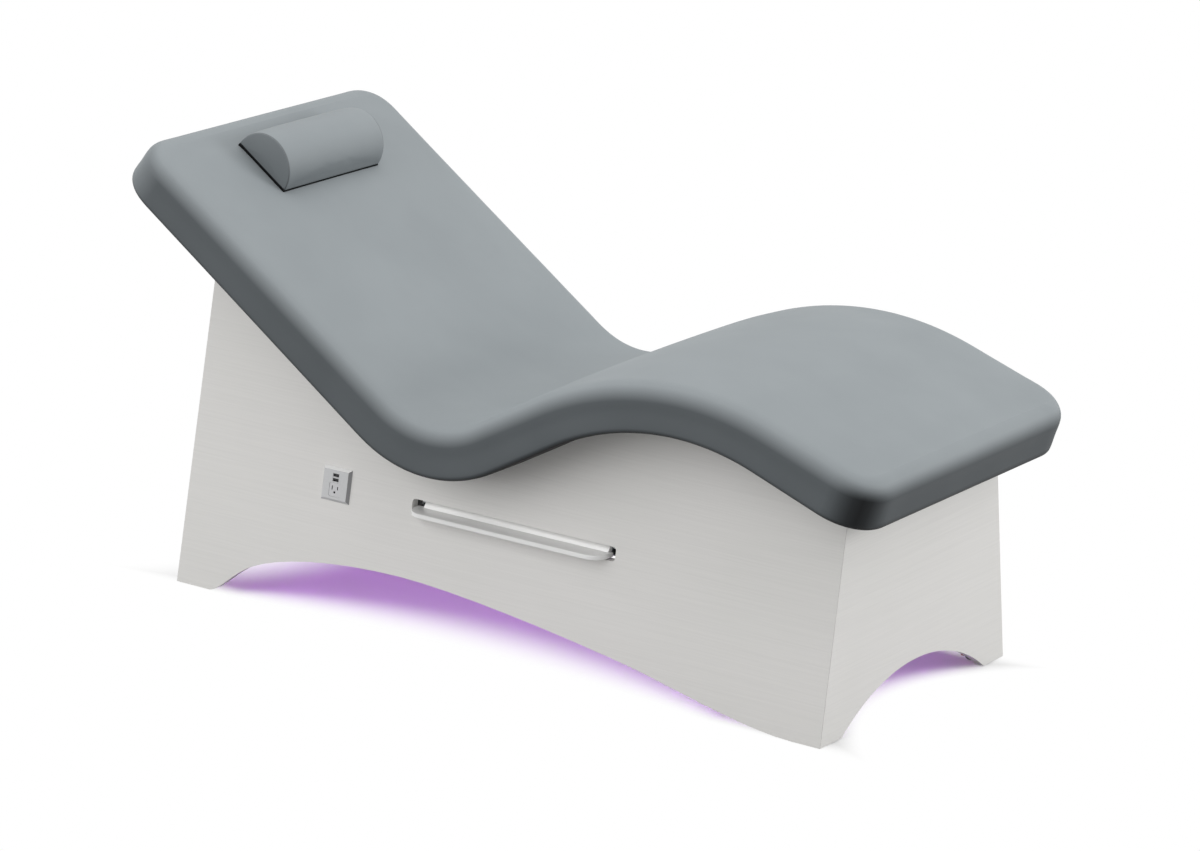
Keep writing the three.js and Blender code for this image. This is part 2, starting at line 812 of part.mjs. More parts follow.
function trayCheek() {
  const x0 = slideRight + seat;
  const x1 = x0 + cheekThickness;
  const plan = (z) => {
    const front = seat - halfAt(z, panelThickness).y;
    const back = beamFront - seat;
    return [[x0, front], [x1, front], [x1, back], [x0, back]].map((point) => new THREE.Vector2(...point));
  };
  return loft(plan(cheekBottom), plan(cheekTop), cheekBottom, cheekTop);
}

function trayBeam() {
  const x0 = headRibPlace + ribThickness / 2 + seat;
  const x1 = footRibPlace - ribThickness / 2 - seat;
  return block(x0, beamFront, cheekBottom, x1 - x0, beamThickness, cheekHeight);
}

// The other one of a pair, on the far side of the middle of the tray
function acrossTray(geometry) {
  return mirror(geometry, -1, 1).translate(2 * slotPlace, 0, 0);
}

const pillowLow = gripThickness + seat;

// The half-round bolster, lying along Y on its flat side with rounded rims, taken in by an inset
function bolster(inset) {
  const radius = pillowRadius - inset;
  const half = pillowLength / 2 - inset;
  const dome = pillowEnd / 2;
  const turn = pillowEnd * (1 - Math.SQRT1_2);
  const end = [
    [half, 0],
    [half - dome * domeShare, radius / 2],
    [half - dome, radius - pillowEnd],
    [half - dome - turn, radius - turn],
    [half - dome - pillowEnd, radius],
  ];
  const rings = [...end.map(([y, r]) => [-y, r]), ...end.reverse()];
  const arc = Array.from({ length: pillowSteps + 1 }, (_, i) => (i / pillowSteps) * Math.PI);
  const at = ([y, r], i) => [r * Math.cos(arc[i]), y, pillowLow + r * Math.sin(arc[i])];
  const positions = [];
  rings.slice(1).forEach((ring, k) => arc.forEach((_, i) => {
    const next = (i + 1) % arc.length;
    const before = rings[k];
    if (ring[1] > 0) {
      positions.push(...at(before, i), ...at(ring, i), ...at(ring, next));
    }
    if (before[1] > 0) {
      positions.push(...at(before, i), ...at(ring, next), ...at(before, next));
    }
  }));
  return closedMesh(positions);
}

function insidePillow(inset) {
  return common(bolster(inset), block(
    -pillowRadius, -pillowLength, pillowLow + inset, 2 * pillowRadius, 2 * pillowLength, 2 * pillowRadius));
}

function pillowCover() {
  const window = block(
    pillowHem - pillowRadius, pillowHem - pillowLength / 2, pillowLow - overrun,
    2 * (pillowRadius - pillowHem), pillowLength - 2 * pillowHem, overrun + pillowSkin + seat);
  return cut(bolster(0), insidePillow(pillowSkin), window);
}

function pillowFoam() {
  return insidePillow(pillowSkin + seat);
}

function pillowGrip() {
  const half = pillowRadius - gripInset;
  const length = pillowLength - 2 * gripInset - pillowEnd;
  return new THREE.ExtrudeGeometry(
    rectangle(-half, -length / 2, 2 * half, length, gripInset),
    { depth: gripThickness, bevelEnabled: false, curveSegments: cornerSteps });
}

// Pieces on a face are drawn in X and up, with depth outward, and then stood on the face
function standOnFace(geometry, x, up) {
  return geometry.rotateX(Math.PI / 2).translate(x, 0, up);
}

function slab(shape, low, high, curveSegments = cornerSteps) {
  return new THREE.ExtrudeGeometry(shape, { depth: high - low, bevelEnabled: false, curveSegments })
    .translate(0, 0, low);
}

function centred(width, height, radius = 0, up = 0) {
  return rectangle(-width / 2, up - height / 2, width, height, radius);
}

function square(side) {
  const half = side / 2;
  return [[-half, -half], [half, -half], [half, half], [-half, half]]
    .map((point) => new THREE.Vector2(...point));
}

const usbPlaces = [usbRise - usbPitch / 2, usbRise + usbPitch / 2];
const faceOut = plateProud - faceSetBack;
const usbOuterWidth = usbWidth + 2 * usbShell;
const usbOuterHeight = usbHeight + 2 * usbShell;

function outletPlate() {
  const pocket = centred(housingSide - 2 * housingWall, housingSide - 2 * housingWall);
  const windows = [
    centred(socketWidth + 2 * seat, socketHeight + 2 * seat, socketRadius, -socketDrop),
    ...usbPlaces.map((up) => centred(usbOuterWidth + 2 * seat, usbOuterHeight + 2 * seat, 0, up)),
  ].map((shape) => slab(shape, -overrun, overrun));
  const plate = cut(
    loft(square(plateSide), square(plateFace), seat, plateProud),
    slab(pocket, -overrun, plateProud - plateWall), ...windows);
  return standOnFace(plate, outletPlace, outletUp);
}

function outletHousing() {
  const inner = housingSide - 2 * housingWall;
  const box = cut(
    slab(centred(housingSide, housingSide), -housingDepth, 0),
    slab(centred(inner, inner), housingWall - housingDepth, overrun));
  return standOnFace(box, outletPlace, outletUp);
}

// The block with the sockets: a three-pin receptacle under two data sockets
function outletCore() {
  const side = housingSide - 2 * housingWall - 2 * seat;
  const back = housingWall + seat - housingDepth;
  const behindPlate = plateProud - plateWall - seat;
  const bosses = [
    slab(centred(socketWidth, socketHeight, socketRadius, -socketDrop), 0, faceOut),
    ...usbPlaces.map((up) => slab(centred(usbOuterWidth, usbOuterHeight, 0, up), 0, faceOut)),
  ];
  const blade = (x, height) => slab(
    rectangle(x - bladeWidth / 2, bladeRise - socketDrop - height / 2, bladeWidth, height),
    faceOut - contactDepth, faceOut + overrun);
  const earthUp = bladeRise - earthDrop - socketDrop;
  const earth = new THREE.Shape().absarc(0, earthUp, earthRadius, 0, 2 * Math.PI);
  const wells = usbPlaces.map((up) => slab(
    centred(usbWidth, usbHeight, 0, up), faceOut - usbDepth, faceOut + overrun));
  const tongues = usbPlaces.map((up) => slab(
    centred(usbTongueWidth, usbTongue, 0, up), faceOut - usbDepth - usbShell, faceOut - usbSetBack));
  const solid = fuse(slab(centred(side, side), back, behindPlate), ...bosses);
  const opened = cut(
    solid, blade(-bladeGap / 2, longBlade), blade(bladeGap / 2, shortBlade),
    slab(earth, faceOut - contactDepth, faceOut + overrun), ...wells);
  return standOnFace(fuse(opened, ...tongues), outletPlace, outletUp);
}

// The mains inlet: a flange on the panel, a body through it and three pins in a well
function powerInlet() {
  const well = outline([
    [-inletWellWidth / 2, -inletWellHeight / 2], [inletWellWidth / 2, -inletWellHeight / 2],
    [inletWellWidth / 2, inletWellHeight / 2 - inletChamfer],
    [inletWellWidth / 2 - inletChamfer, inletWellHeight / 2],
    [inletChamfer - inletWellWidth / 2, inletWellHeight / 2],
    [-inletWellWidth / 2, inletWellHeight / 2 - inletChamfer],
  ]);
  const floor = inletFlange - inletWellDepth;
  const pins = [[-pinGap, -pinDrop], [0, earthRise], [pinGap, -pinDrop]].map(([x, up]) => slab(
    rectangle(x - pinWidth / 2, up - pinHeight / 2, pinWidth, pinHeight),
    floor - pinWidth, floor + pinLength));
  const shell = fuse(
    slab(centred(inletFlangeWidth, inletFlangeHeight, inletFlangeRadius), seat, inletFlange),
    slab(centred(inletBodyWidth, inletBodyHeight), inletFlange - inletBodyDepth, inletFlange / 2));
  return standOnFace(fuse(cut(shell, slab(well, floor, overrun)), ...pins), inletPlace, inletUp);
}

// Boxes on the inner face of the near panel
const innerFace = -panelThickness - seat;

function mainsBox() {
  const open = innerFace - mainsBoxDepth;
  const inner = centred(mainsBoxWidth - 2 * mainsBoxWall, mainsBoxHeight - 2 * mainsBoxWall);
  const box = cut(
    slab(centred(mainsBoxWidth, mainsBoxHeight, mainsBoxWall), open, innerFace),
    slab(inner, open - overrun, innerFace - mainsBoxWall));
  return standOnFace(box, mainsBoxPlace, mainsBoxBottom + mainsBoxHeight / 2);
}

function mainsLid() {
  const high = innerFace - mainsBoxDepth - seat;
  const lid = slab(centred(mainsBoxWidth, mainsBoxHeight, mainsBoxWall), high - mainsLidThickness, high);
  return standOnFace(lid, mainsBoxPlace, mainsBoxBottom + mainsBoxHeight / 2);
}

function ledDriver() {
  const body = alongX(
    rectangle(panelThickness + seat, driverBottom, driverDepth, driverHeight, driverEdge),
    driverPlace - driverWidth / 2, driverPlace + driverWidth / 2, cornerSteps);
  const earLength = driverWidth + 2 * driverEar;
  const ears = block(
    driverPlace - earLength / 2, panelThickness + seat, driverBottom + driverEdge,
    earLength, driverEdge, driverHeight - 2 * driverEdge);
  return fuse(body, ears);
}

// A lighting profile on the inner face of a panel: a channel open below, its strip and its diffuser
function ledChannel(length, low) {
  const back = panelThickness + seat;
  const front = back + ledWidth;
  const high = low + ledHeight;
  const shape = outline([
    [back, low], [back + ledWall + ledLip, low], [back + ledWall + ledLip, low + ledLip],
    [back + ledWall, low + ledLip], [back + ledWall, high - ledWall], [front - ledWall, high - ledWall],
    [front - ledWall, low + ledLip], [front - ledWall - ledLip, low + ledLip],
    [front - ledWall - ledLip, low], [front, low], [front, high], [back, high],
  ]);
  return alongX(shape, -length / 2, length / 2);
}

function insideLed(length, thickness, low) {
  const side = ledWall + seat;
  return block(
    -length / 2, panelThickness + seat + side, low, length, ledWidth - 2 * side, thickness);
}

const ledSizes = {
  near: [sideLedLength, sideLedHeight],
  far: [sideLedLength, sideLedHeight],
  foot: [endLedLength, endLedHeight],
  head: [endLedLength, endLedHeight],
};

// A point given in the frame of a face, by its depth into the base
function atFace(face, x, depth, up) {
  return new THREE.Vector3(x, depth, up).applyMatrix4(faces[face]);
}

// A lead through points chosen by hand, leaving both of its ends square
function lead(points, radius) {
  const curve = new THREE.CatmullRomCurve3(points, false, 'centripetal');
  const section = new THREE.Shape().absarc(0, 0, radius, 0, 2 * Math.PI);
  return new THREE.ExtrudeGeometry(section, {
    extrudePath: curve, steps: leadSteps, curveSegments: leadSides, bevelEnabled: false,
  });
}

const mainsBoxMiddle = mainsBoxBottom + mainsBoxHeight / 2;
const mainsBoxHalf = panelThickness + seat + mainsBoxDepth / 2;

function outletLead() {
  const depth = housingDepth / 2;
  const start = outletPlace - housingSide / 2 - seat;
  const end = mainsBoxPlace + mainsBoxWidth / 2 + seat;
  const lean = leadSag / 2;
  return lead([
    atFace('near', start, depth + lean, outletUp),
    atFace('near', start - leadSag, depth + lean, outletUp),
    atFace('near', (start + end) / 2, (depth + lean + mainsBoxHalf) / 2, outletUp - leadSag),
    atFace('near', end + leadSag, mainsBoxHalf, mainsBoxMiddle),
    atFace('near', end, mainsBoxHalf, mainsBoxMiddle),
  ], mainsLeadRadius);
}

function inletLead() {
  const back = inletBodyDepth - inletFlange + seat;
  const end = mainsBoxPlace - mainsBoxWidth / 2 - seat;
  const away = 2 * leadSag;
  const first = atFace('head', inletPlace, back + away, inletUp);
  const last = atFace('near', end - away, mainsBoxHalf, mainsBoxMiddle);
  return lead([
    atFace('head', inletPlace, back, inletUp),
    first,
    first.clone().lerp(last, 1 / 2).add(new THREE.Vector3(0, 0, -leadSag)),
    last,
    atFace('near', end, mainsBoxHalf, mainsBoxMiddle),
  ], mainsLeadRadius);
}

function driverLead() {
  const start = mainsBoxBottom + mainsBoxHeight + seat;
  const end = driverBottom - seat;
  const depth = panelThickness + seat + driverDepth / 2;
  return lead([
    atFace('near', mainsBoxPlace, depth, start),
    atFace('near', mainsBoxPlace, depth, start + leadSag),
    atFace('near', mainsBoxPlace - leadSag / 2, depth + leadSag / 2, (start + end) / 2),
    atFace('near', mainsBoxPlace, depth, end - leadSag),
    atFace('near', mainsBoxPlace, depth, end),
  ], mainsLeadRadius);
}

// The low-voltage lead from the driver down to the near lighting profile
function ledLead() {
  const start = driverPlace - driverWidth / 2 - seat;
  const depth = panelThickness + seat + driverDepth / 2;
  const up = driverBottom + driverHeight / 2;
  const ledTop = sideLedHeight + ledHeight + seat;
  const ledDepth = panelThickness + seat + ledWidth / 2;
  const ledPlace = leadSag - sideLedLength / 2;
  const out = start - 2 * leadSag;
  return lead([
    atFace('near', start, depth, up),
    atFace('near', start - leadSag, depth, up),
    atFace('near', out, depth, up - 2 * leadSag),
    atFace('near', out, (depth + ledDepth) / 2, (up + ledTop) / 2),
    atFace('near', ledPlace, ledDepth, ledTop + 2 * leadSag),
    atFace('near', ledPlace, ledDepth, ledTop),
  ], ledLeadRadius);
}

// A link from the end of a side profile, round a corner over the post, to the end profile
function ledLink(side, sideSign, end, endSign) {
  const high = ledHeight - ledWall - seat;
  const depth = panelThickness + seat + ledWidth / 2;
  const from = (away) => (
    atFace(side, sideSign * (sideLedLength / 2 + seat + away), depth, sideLedHeight + high));
  const to = (away) => (
    atFace(end, endSign * (endLedLength / 2 + seat + away), depth, endLedHeight + high));
  const corner = from(postSide + leadSag).lerp(to(postSide + leadSag), 1 / 2);
  return lead([
    from(0), from(leadSag), from(postSide), corner, to(postSide), to(leadSag), to(0),
  ], ledLeadRadius);
}

// The assembly
const assembly = new THREE.Group();

function add(parent, name, geometry, material) {
  const mesh = new THREE.Mesh(geometry, material);
  mesh.name = name;
  parent.add(mesh);
  return mesh;
}

function faceGroup(face) {
  const group = new THREE.Group();
  faces[face].decompose(group.position, group.quaternion, group.scale);
  assembly.add(group);
  return group;
}

add(assembly, 'side_panel_near', nearPanel(), materials.laminate);
add(assembly, 'side_panel_far', farPanel(), materials.laminate);
add(assembly, 'end_panel_foot', footPanel(), materials.laminate);
add(assembly, 'end_panel_head', headPanel(), materials.laminate);
add(assembly, 'rib_head', crossRib(headRibPlace), materials.plywood);
add(assembly, 'rib_foot', crossRib(footRibPlace), materials.plywood);
add(assembly, 'deck_rail_near', deckRail(), materials.plywood);
add(assembly, 'deck_rail_far', mirror(deckRail(), 1, -1), materials.plywood);

const corners = [['foot_near', 1, -1], ['foot_far', 1, 1], ['head_near', -1, -1], ['head_far', -1, 1]];
corners.forEach(([corner, sideX, sideY]) => {
  add(assembly, `corner_post_${corner}`, mirror(cornerPost(), sideX, sideY), materials.plywood);
  add(assembly, `levelling_foot_${corner}`, levellingFoot(), materials.black)
    .position.copy(footPlace(sideX, sideY));
});

const deckStretches = ['back', 'seat', 'leg'];
deckBoards().forEach((board, i) => {
  add(assembly, `deck_board_${deckStretches[i]}`, board, materials.plywood);
});
add(assembly, 'cushion_foam', foamCore(), materials.foam);
add(assembly, 'cushion_cover', cushionCover(), materials.upholstery);

const pillow = new THREE.Group();
pillow.position.copy(onWave(pillowPlace, 0, topThickness + crown + seat));
pillow.rotation.y = backTilt;
assembly.add(pillow);
add(pillow, 'pillow_cover', pillowCover(), materials.upholstery);
add(pillow, 'pillow_foam', pillowFoam(), materials.foam);
add(pillow, 'pillow_grip', pillowGrip(), materials.grip);

add(assembly, 'tray_board', trayBoard(), materials.tray);
add(assembly, 'tray_rim', trayRim(), materials.tray);
add(assembly, 'tray_mat', trayMat(), materials.mat);
add(assembly, 'tray_beam', trayBeam(), materials.plywood);
add(assembly, 'tray_cheek_foot', trayCheek(), materials.plywood);
add(assembly, 'tray_cheek_head', acrossTray(trayCheek()), materials.plywood);
add(assembly, 'slide_rail_foot', slideRail(), materials.steel);
add(assembly, 'slide_rail_head', acrossTray(slideRail()), materials.steel);
add(assembly, 'slide_runner_foot', slideRunner(), materials.steel);
add(assembly, 'slide_runner_head', acrossTray(slideRunner()), materials.steel);

const nearGroup = faceGroup('near');
add(nearGroup, 'outlet_plate', outletPlate(), materials.plate);
add(nearGroup, 'outlet_housing', outletHousing(), materials.black);
add(nearGroup, 'outlet_core', outletCore(), materials.socket);
add(nearGroup, 'mains_box', mainsBox(), materials.driver);
add(nearGroup, 'mains_box_lid', mainsLid(), materials.driver);
add(nearGroup, 'led_driver', ledDriver(), materials.driver);

const headGroup = faceGroup('head');
add(headGroup, 'power_inlet', powerInlet(), materials.black);

const faceGroups = { near: nearGroup, far: faceGroup('far'), foot: faceGroup('foot'), head: headGroup };
Object.entries(ledSizes).forEach(([face, [length, low]]) => {
  const stripLow = low + ledHeight - ledWall - seat - stripThickness;
  const diffuserLow = low + ledLip + seat;
  add(faceGroups[face], `led_channel_${face}`, ledChannel(length, low), materials.aluminium);
  add(faceGroups[face], `led_strip_${face}`, insideLed(length, stripThickness, stripLow), materials.driver);
  const diffuser = insideLed(length, diffuserThickness, diffuserLow);
  add(faceGroups[face], `led_diffuser_${face}`, diffuser, materials.diffuser);
});

add(assembly, 'outlet_lead', outletLead(), materials.black);
add(assembly, 'inlet_lead', inletLead(), materials.black);
add(assembly, 'driver_lead', driverLead(), materials.black);
add(assembly, 'led_lead', ledLead(), materials.black);
add(assembly, 'led_link_near_head', ledLink('near', -1, 'head', 1), materials.black);
add(assembly, 'led_link_near_foot', ledLink('near', 1, 'foot', -1), materials.black);
add(assembly, 'led_link_far_head', ledLink('far', 1, 'head', -1), materials.black);

// The whole stands on the floor, with its origin under the middle of its length
const reach = new THREE.Box3().setFromObject(assembly, true);
assembly.position.set(-(reach.min.x + reach.max.x) / 2, 0, floorGap);

const lounger = new THREE.Group();
lounger.add(assembly);

export default lounger;
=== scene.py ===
import math

import bpy
from mathutils import Matrix, Vector


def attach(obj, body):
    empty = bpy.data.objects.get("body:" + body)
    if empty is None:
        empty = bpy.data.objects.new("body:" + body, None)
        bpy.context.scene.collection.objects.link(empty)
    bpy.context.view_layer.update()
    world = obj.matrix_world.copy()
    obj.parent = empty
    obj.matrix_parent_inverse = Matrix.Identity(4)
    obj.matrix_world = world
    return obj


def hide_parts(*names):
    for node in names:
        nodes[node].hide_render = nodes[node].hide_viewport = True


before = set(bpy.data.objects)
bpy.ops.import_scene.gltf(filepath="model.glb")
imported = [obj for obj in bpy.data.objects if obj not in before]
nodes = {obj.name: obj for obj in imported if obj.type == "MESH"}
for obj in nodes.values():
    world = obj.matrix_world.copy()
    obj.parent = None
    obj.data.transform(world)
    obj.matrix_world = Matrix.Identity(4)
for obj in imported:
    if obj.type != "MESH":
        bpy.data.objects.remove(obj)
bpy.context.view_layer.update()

# Camera. It stands off the foot end of the tray side, a little above the lounger, and is
# rolled slightly, which is where the photograph was taken from.
camera_place = Vector((4.92282, -7.48976, 3.00964))
camera_turn = math.radians(33.149)
camera_rise = math.radians(16.321)
camera_roll = math.radians(2.413)
film_width = 36
lens_length = 147.65
back = Vector((
    math.sin(camera_turn) * math.cos(camera_rise),
    -math.cos(camera_turn) * math.cos(camera_rise),
    math.sin(camera_rise)))
level = Vector((math.cos(camera_turn), math.sin(camera_turn), 0))
upward = back.cross(level)
across = level * math.cos(camera_roll) + upward * math.sin(camera_roll)
upright = upward * math.cos(camera_roll) - level * math.sin(camera_roll)
camera_data = bpy.data.cameras.new("studio_camera")
camera_data.sensor_width = film_width
camera_data.lens = lens_length
camera = bpy.data.objects.new("studio_camera", camera_data)
bpy.context.collection.objects.link(camera)
camera.matrix_world = Matrix((
    (across.x, upright.x, back.x, camera_place.x),
    (across.y, upright.y, back.y, camera_place.y),
    (across.z, upright.z, back.z, camera_place.z),
    (0, 0, 0, 1)))
bpy.context.scene.camera = camera
bpy.context.scene.view_settings.view_transform = "Standard"


# Studio floor and backdrop. Plain white paper, seen as pure white away from the lounger. Under
# it and just beside it the floor is lit paper, which keeps the shadow and the lilac glow.
def linear(hex_colour):
    """An sRGB hex colour as the linear colour that a socket takes."""
    parts = [int(hex_colour[i:i + 2], 16) / 255 for i in (1, 3, 5)]
    return [p / 12.92 if p <= 0.04045 else ((p + 0.055) / 1.055) ** 2.4 for p in parts] + [1]


def add_node(tree, kind, inputs=None, stops=None, **settings):
    """Adds a node, with its settings, its ramp stops, and its inputs as values or links."""
    made = tree.nodes.new(kind)
    for name, value in settings.items():
        setattr(made, name, value)
    for name, value in (inputs or {}).items():
        if isinstance(value, bpy.types.NodeSocket):
            tree.links.new(value, made.inputs[name])
        else:
            made.inputs[name].default_value = value
    if stops:
        elements = made.color_ramp.elements
        while len(elements) < len(stops):
            elements.new(1)
        for element, (position, colour) in zip(elements, stops):
            element.position = position
            element.color = colour
    return made


def new_material(name):
    """A material, its tree, and the place of each point on the piece in metres."""
    material = bpy.data.materials.new(name)
    material.use_nodes = True
    tree = material.node_tree
    tree.nodes.clear()
    return material, tree, add_node(tree, "ShaderNodeTexCoord").outputs["Object"]


def seen_directly(tree):
    """1 on rays that leave the camera or come off gloss or through glass, 0 on the rest."""
    path = add_node(tree, "ShaderNodeLightPath")
    gloss = add_node(tree, "ShaderNodeMath", {
        0: path.outputs["Is Camera Ray"], 1: path.outputs["Is Glossy Ray"]}, operation="MAXIMUM")
    glass = add_node(tree, "ShaderNodeMath", {
        0: gloss.outputs[0], 1: path.outputs["Is Transmission Ray"]}, operation="MAXIMUM")
    return glass.outputs[0]


white = (1, 1, 1, 1)
room_light = 0.64
world = bpy.data.worlds.new("white_studio")
bpy.context.scene.world = world
world.use_nodes = True
tree = world.node_tree
tree.nodes.clear()
room = add_node(tree, "ShaderNodeBackground", {"Color": white, "Strength": room_light})
backdrop = add_node(tree, "ShaderNodeBackground", {"Color": white, "Strength": 1})
shown = add_node(tree, "ShaderNodeMixShader", {
    0: seen_directly(tree), 1: room.outputs[0], 2: backdrop.outputs[0]})
add_node(tree, "ShaderNodeOutputWorld", {"Surface": shown.outputs[0]})

floor_half = 14
floor_mesh = bpy.data.meshes.new("paper_floor")
floor_mesh.from_pydata([
    (-floor_half, -floor_half, 0), (floor_half, -floor_half, 0),
    (floor_half, floor_half, 0), (-floor_half, floor_half, 0)], [], [(0, 1, 2, 3)])
floor = bpy.data.objects.new("paper_floor", floor_mesh)
bpy.context.collection.objects.link(floor)

# The paper goes over to pure white, glowing as painted light, past a line beside each face of the
# base, bowed as the arches are, so the edges of the lilac glow and of the shadow are painted. Even
# under the base it keeps shade_paleness of that glow as painted light. The fade starts on one line
# and ends on another. Each has its distance out at the face's middle, and a bow: the distance
# grows by the bow times the square of the way along the face.
shade_paleness = 0.085
bow_end = 0.3
floor_paper, tree, place = new_material("matt_white_paper")
floor_place = add_node(tree, "ShaderNodeSeparateXYZ", {0: place})
footward, farward = floor_place.outputs["X"], floor_place.outputs["Y"]
sideward = add_node(tree, "ShaderNodeMath", {0: farward}, operation="ABSOLUTE").outputs[0]
headward = add_node(tree, "ShaderNodeMath", {
    0: footward, 1: -1}, operation="MULTIPLY").outputs[0]
glares = []
for outward, along, middle_at, glare_from, glare_full in (
        (sideward, footward, -0.04, (0.09, 0.585), (0.297, 0.14)),
        (footward, farward, 0, (0.617, 1.4), (0.697, 1.4)),
        (headward, farward, 0, (0.475, 1.5), (0.725, 1.5))):
    off_middle = add_node(tree, "ShaderNodeMath", {
        0: along, 1: middle_at}, operation="SUBTRACT")
    squared = add_node(tree, "ShaderNodeMath", {
        0: off_middle.outputs[0], 1: off_middle.outputs[0]}, operation="MULTIPLY")
    capped = add_node(tree, "ShaderNodeMath", {
        0: squared.outputs[0], 1: bow_end}, operation="MINIMUM")
    line_from, line_full = [
        add_node(tree, "ShaderNodeMath", {
            0: capped.outputs[0], 1: bow, 2: distance}, operation="MULTIPLY_ADD")
        for distance, bow in (glare_from, glare_full)]
    glare = add_node(tree, "ShaderNodeMapRange", {
        "Value": outward, "From Min": line_from.outputs[0], "From Max": line_full.outputs[0],
        "To Min": shade_paleness}, interpolation_type="SMOOTHSTEP")
    glares.append(glare.outputs["Result"])
foot_glare = add_node(tree, "ShaderNodeMath", {0: glares[0], 1: glares[1]}, operation="MAXIMUM")
paper_glare = add_node(tree, "ShaderNodeMath", {
    0: foot_glare.outputs[0], 1: glares[2]}, operation="MAXIMUM")
paper_lit = add_node(tree, "ShaderNodeBsdfDiffuse", {"Color": linear("#F4F4F4")})
paper_bounce = add_node(tree, "ShaderNodeBsdfDiffuse", {"Color": linear("#989898")})
paper_white = add_node(tree, "ShaderNodeEmission", {"Color": white, "Strength": 1})
paper_seen = add_node(tree, "ShaderNodeMixShader", {
    0: paper_glare.outputs[0], 1: paper_lit.outputs[0], 2: paper_white.outputs[0]})
paper_mix = add_node(tree, "ShaderNodeMixShader", {
    0: seen_directly(tree), 1: paper_bounce.outputs[0], 2: paper_seen.outputs[0]})
add_node(tree, "ShaderNodeOutputMaterial", {"Surface": paper_mix.outputs[0]})
floor_mesh.materials.append(floor_paper)


# Studio lamps. Three large plain softboxes: one hangs overhead, one stands before the tray side
# towards the head, and one beyond the foot end.
def add_softbox(name, place, aim, size, power, colour=(1, 1, 1)):
    """A rectangular lamp of a width and a height that faces a point."""
    lamp = bpy.data.lights.new(name, "AREA")
    lamp.shape = "RECTANGLE"
    lamp.size, lamp.size_y = size
    lamp.energy = power
    lamp.color = colour
    softbox = bpy.data.objects.new(name, lamp)
    bpy.context.collection.objects.link(softbox)
    softbox.location = place
    softbox.rotation_euler = (Vector(place) - Vector(aim)).to_track_quat("Z", "Y").to_euler()
    return softbox


middle = (0, 0, 0.4)
add_softbox("overhead_softbox", place=(0, 0, 4.2), aim=middle, size=(3.2, 3.2), power=45)
add_softbox("left_softbox", place=(-4.6, -6.4, 3.8), aim=middle, size=(7.5, 7.5), power=272)
add_softbox("right_softbox", place=(6.4, 3.6, 2.6), aim=middle, size=(3.0, 3.0), power=226)


# Side and end panels. Pale grey decorative laminate pressed on board: a printed straight grain
# runs level along each panel, too fine to see but for its streaks, under a satin wear layer.
# The printed lines lie some 0.4 mm apart, too fine to show, and are drawn four times as coarse.
grain_pitch = 0.0016
streak_length = 0.22
print_cloud = 0.25
laminate, tree, place = new_material("satin_straight_grain_laminate")
stretch = add_node(tree, "ShaderNodeMapping", {
    "Vector": place, "Scale": (1 / streak_length, 1 / streak_length, 1 / (2 * grain_pitch))})
streaks = add_node(tree, "ShaderNodeTexNoise", {
    "Vector": stretch.outputs[0], "Scale": 1.0, "Detail": 3.0, "Roughness": 0.6})
cloud = add_node(tree, "ShaderNodeTexNoise", {
    "Vector": place, "Scale": 1 / print_cloud, "Detail": 2.0})
streak_colour = add_node(tree, "ShaderNodeValToRGB", {"Fac": streaks.outputs["Fac"]}, stops=[
    (0.3, linear("#DEDDDA")), (0.7, linear("#E6E5E2"))])
cloud_colour = add_node(tree, "ShaderNodeValToRGB", {"Fac": cloud.outputs["Fac"]}, stops=[
    (0.35, linear("#E0DFDC")), (0.65, linear("#E5E3E1"))])
# Inputs 6 and 7 of a colour Mix are its two colours, and output 2 is the result.
laminate_colour = add_node(tree, "ShaderNodeMix", {
    "Factor": 0.45, 6: streak_colour.outputs[0], 7: cloud_colour.outputs[0]}, data_type="RGBA")
streak_bump = add_node(tree, "ShaderNodeBump", {
    "Height": streaks.outputs["Fac"], "Strength": 0.03, "Distance": 0.0004})
satin = add_node(tree, "ShaderNodeBsdfPrincipled", {
    "Base Color": laminate_colour.outputs[2], "Roughness": 0.42, "IOR": 1.5,
    "Normal": streak_bump.outputs[0]})
add_node(tree, "ShaderNodeOutputMaterial", {"Surface": satin.outputs[0]})


def dress(material, *names):
    """Gives CAD pieces a material in place of the plain one."""
    for name in names:
        piece = nodes[name]
        piece.data.materials.clear()
        piece.data.materials.append(material)


dress(laminate, "side_panel_near", "side_panel_far", "end_panel_foot", "end_panel_head")


# Mattress. Foam in a one-piece cover of smooth upholstery vinyl, pulled over the foam, bent to
# the wave with it and stapled under the deck, so that the edges are round and nothing is sewn.
mattress_width = 0.762
mattress_thickness = 0.0964
mattress_corner = 0.088
mattress_crown = 0.004
crown_run = 0.12
waist = 0.0028
top_edge = 0.0346
low_edge = 0.0099

# The wave: straight back, bend of the valley, straight seat, bend of the knee, straight legs.
back_slope, seat_slope, leg_slope = [math.radians(a) for a in (-34.65, 29.82, -19.41)]
valley_radius = 0.1875
knee_radius = 0.6063
wave_stretches = [
    {"length": 0.7152, "slope": back_slope, "radius": 0},
    {"length": valley_radius * (seat_slope - back_slope), "slope": back_slope,
     "radius": valley_radius},
    {"length": 0.1562, "slope": seat_slope, "radius": 0},
    {"length": knee_radius * (seat_slope - leg_slope), "slope": seat_slope,
     "radius": -knee_radius},
    {"length": 0.2378, "slope": leg_slope, "radius": 0},
]
# The lowest point of the valley, on the mattress's top.
valley_place = Vector((-0.10035, 0, 0.4398))


def step_along(stretch, distance):
    """Place and slope on one stretch of the wave."""
    slope, radius = stretch["slope"], stretch["radius"]
    x, z = stretch["start"]
    if not radius:
        return x + distance * math.cos(slope), z + distance * math.sin(slope), slope
    turned = slope + distance / radius
    return (x + (math.sin(turned) - math.sin(slope)) * radius,
            z - (math.cos(turned) - math.cos(slope)) * radius, turned)


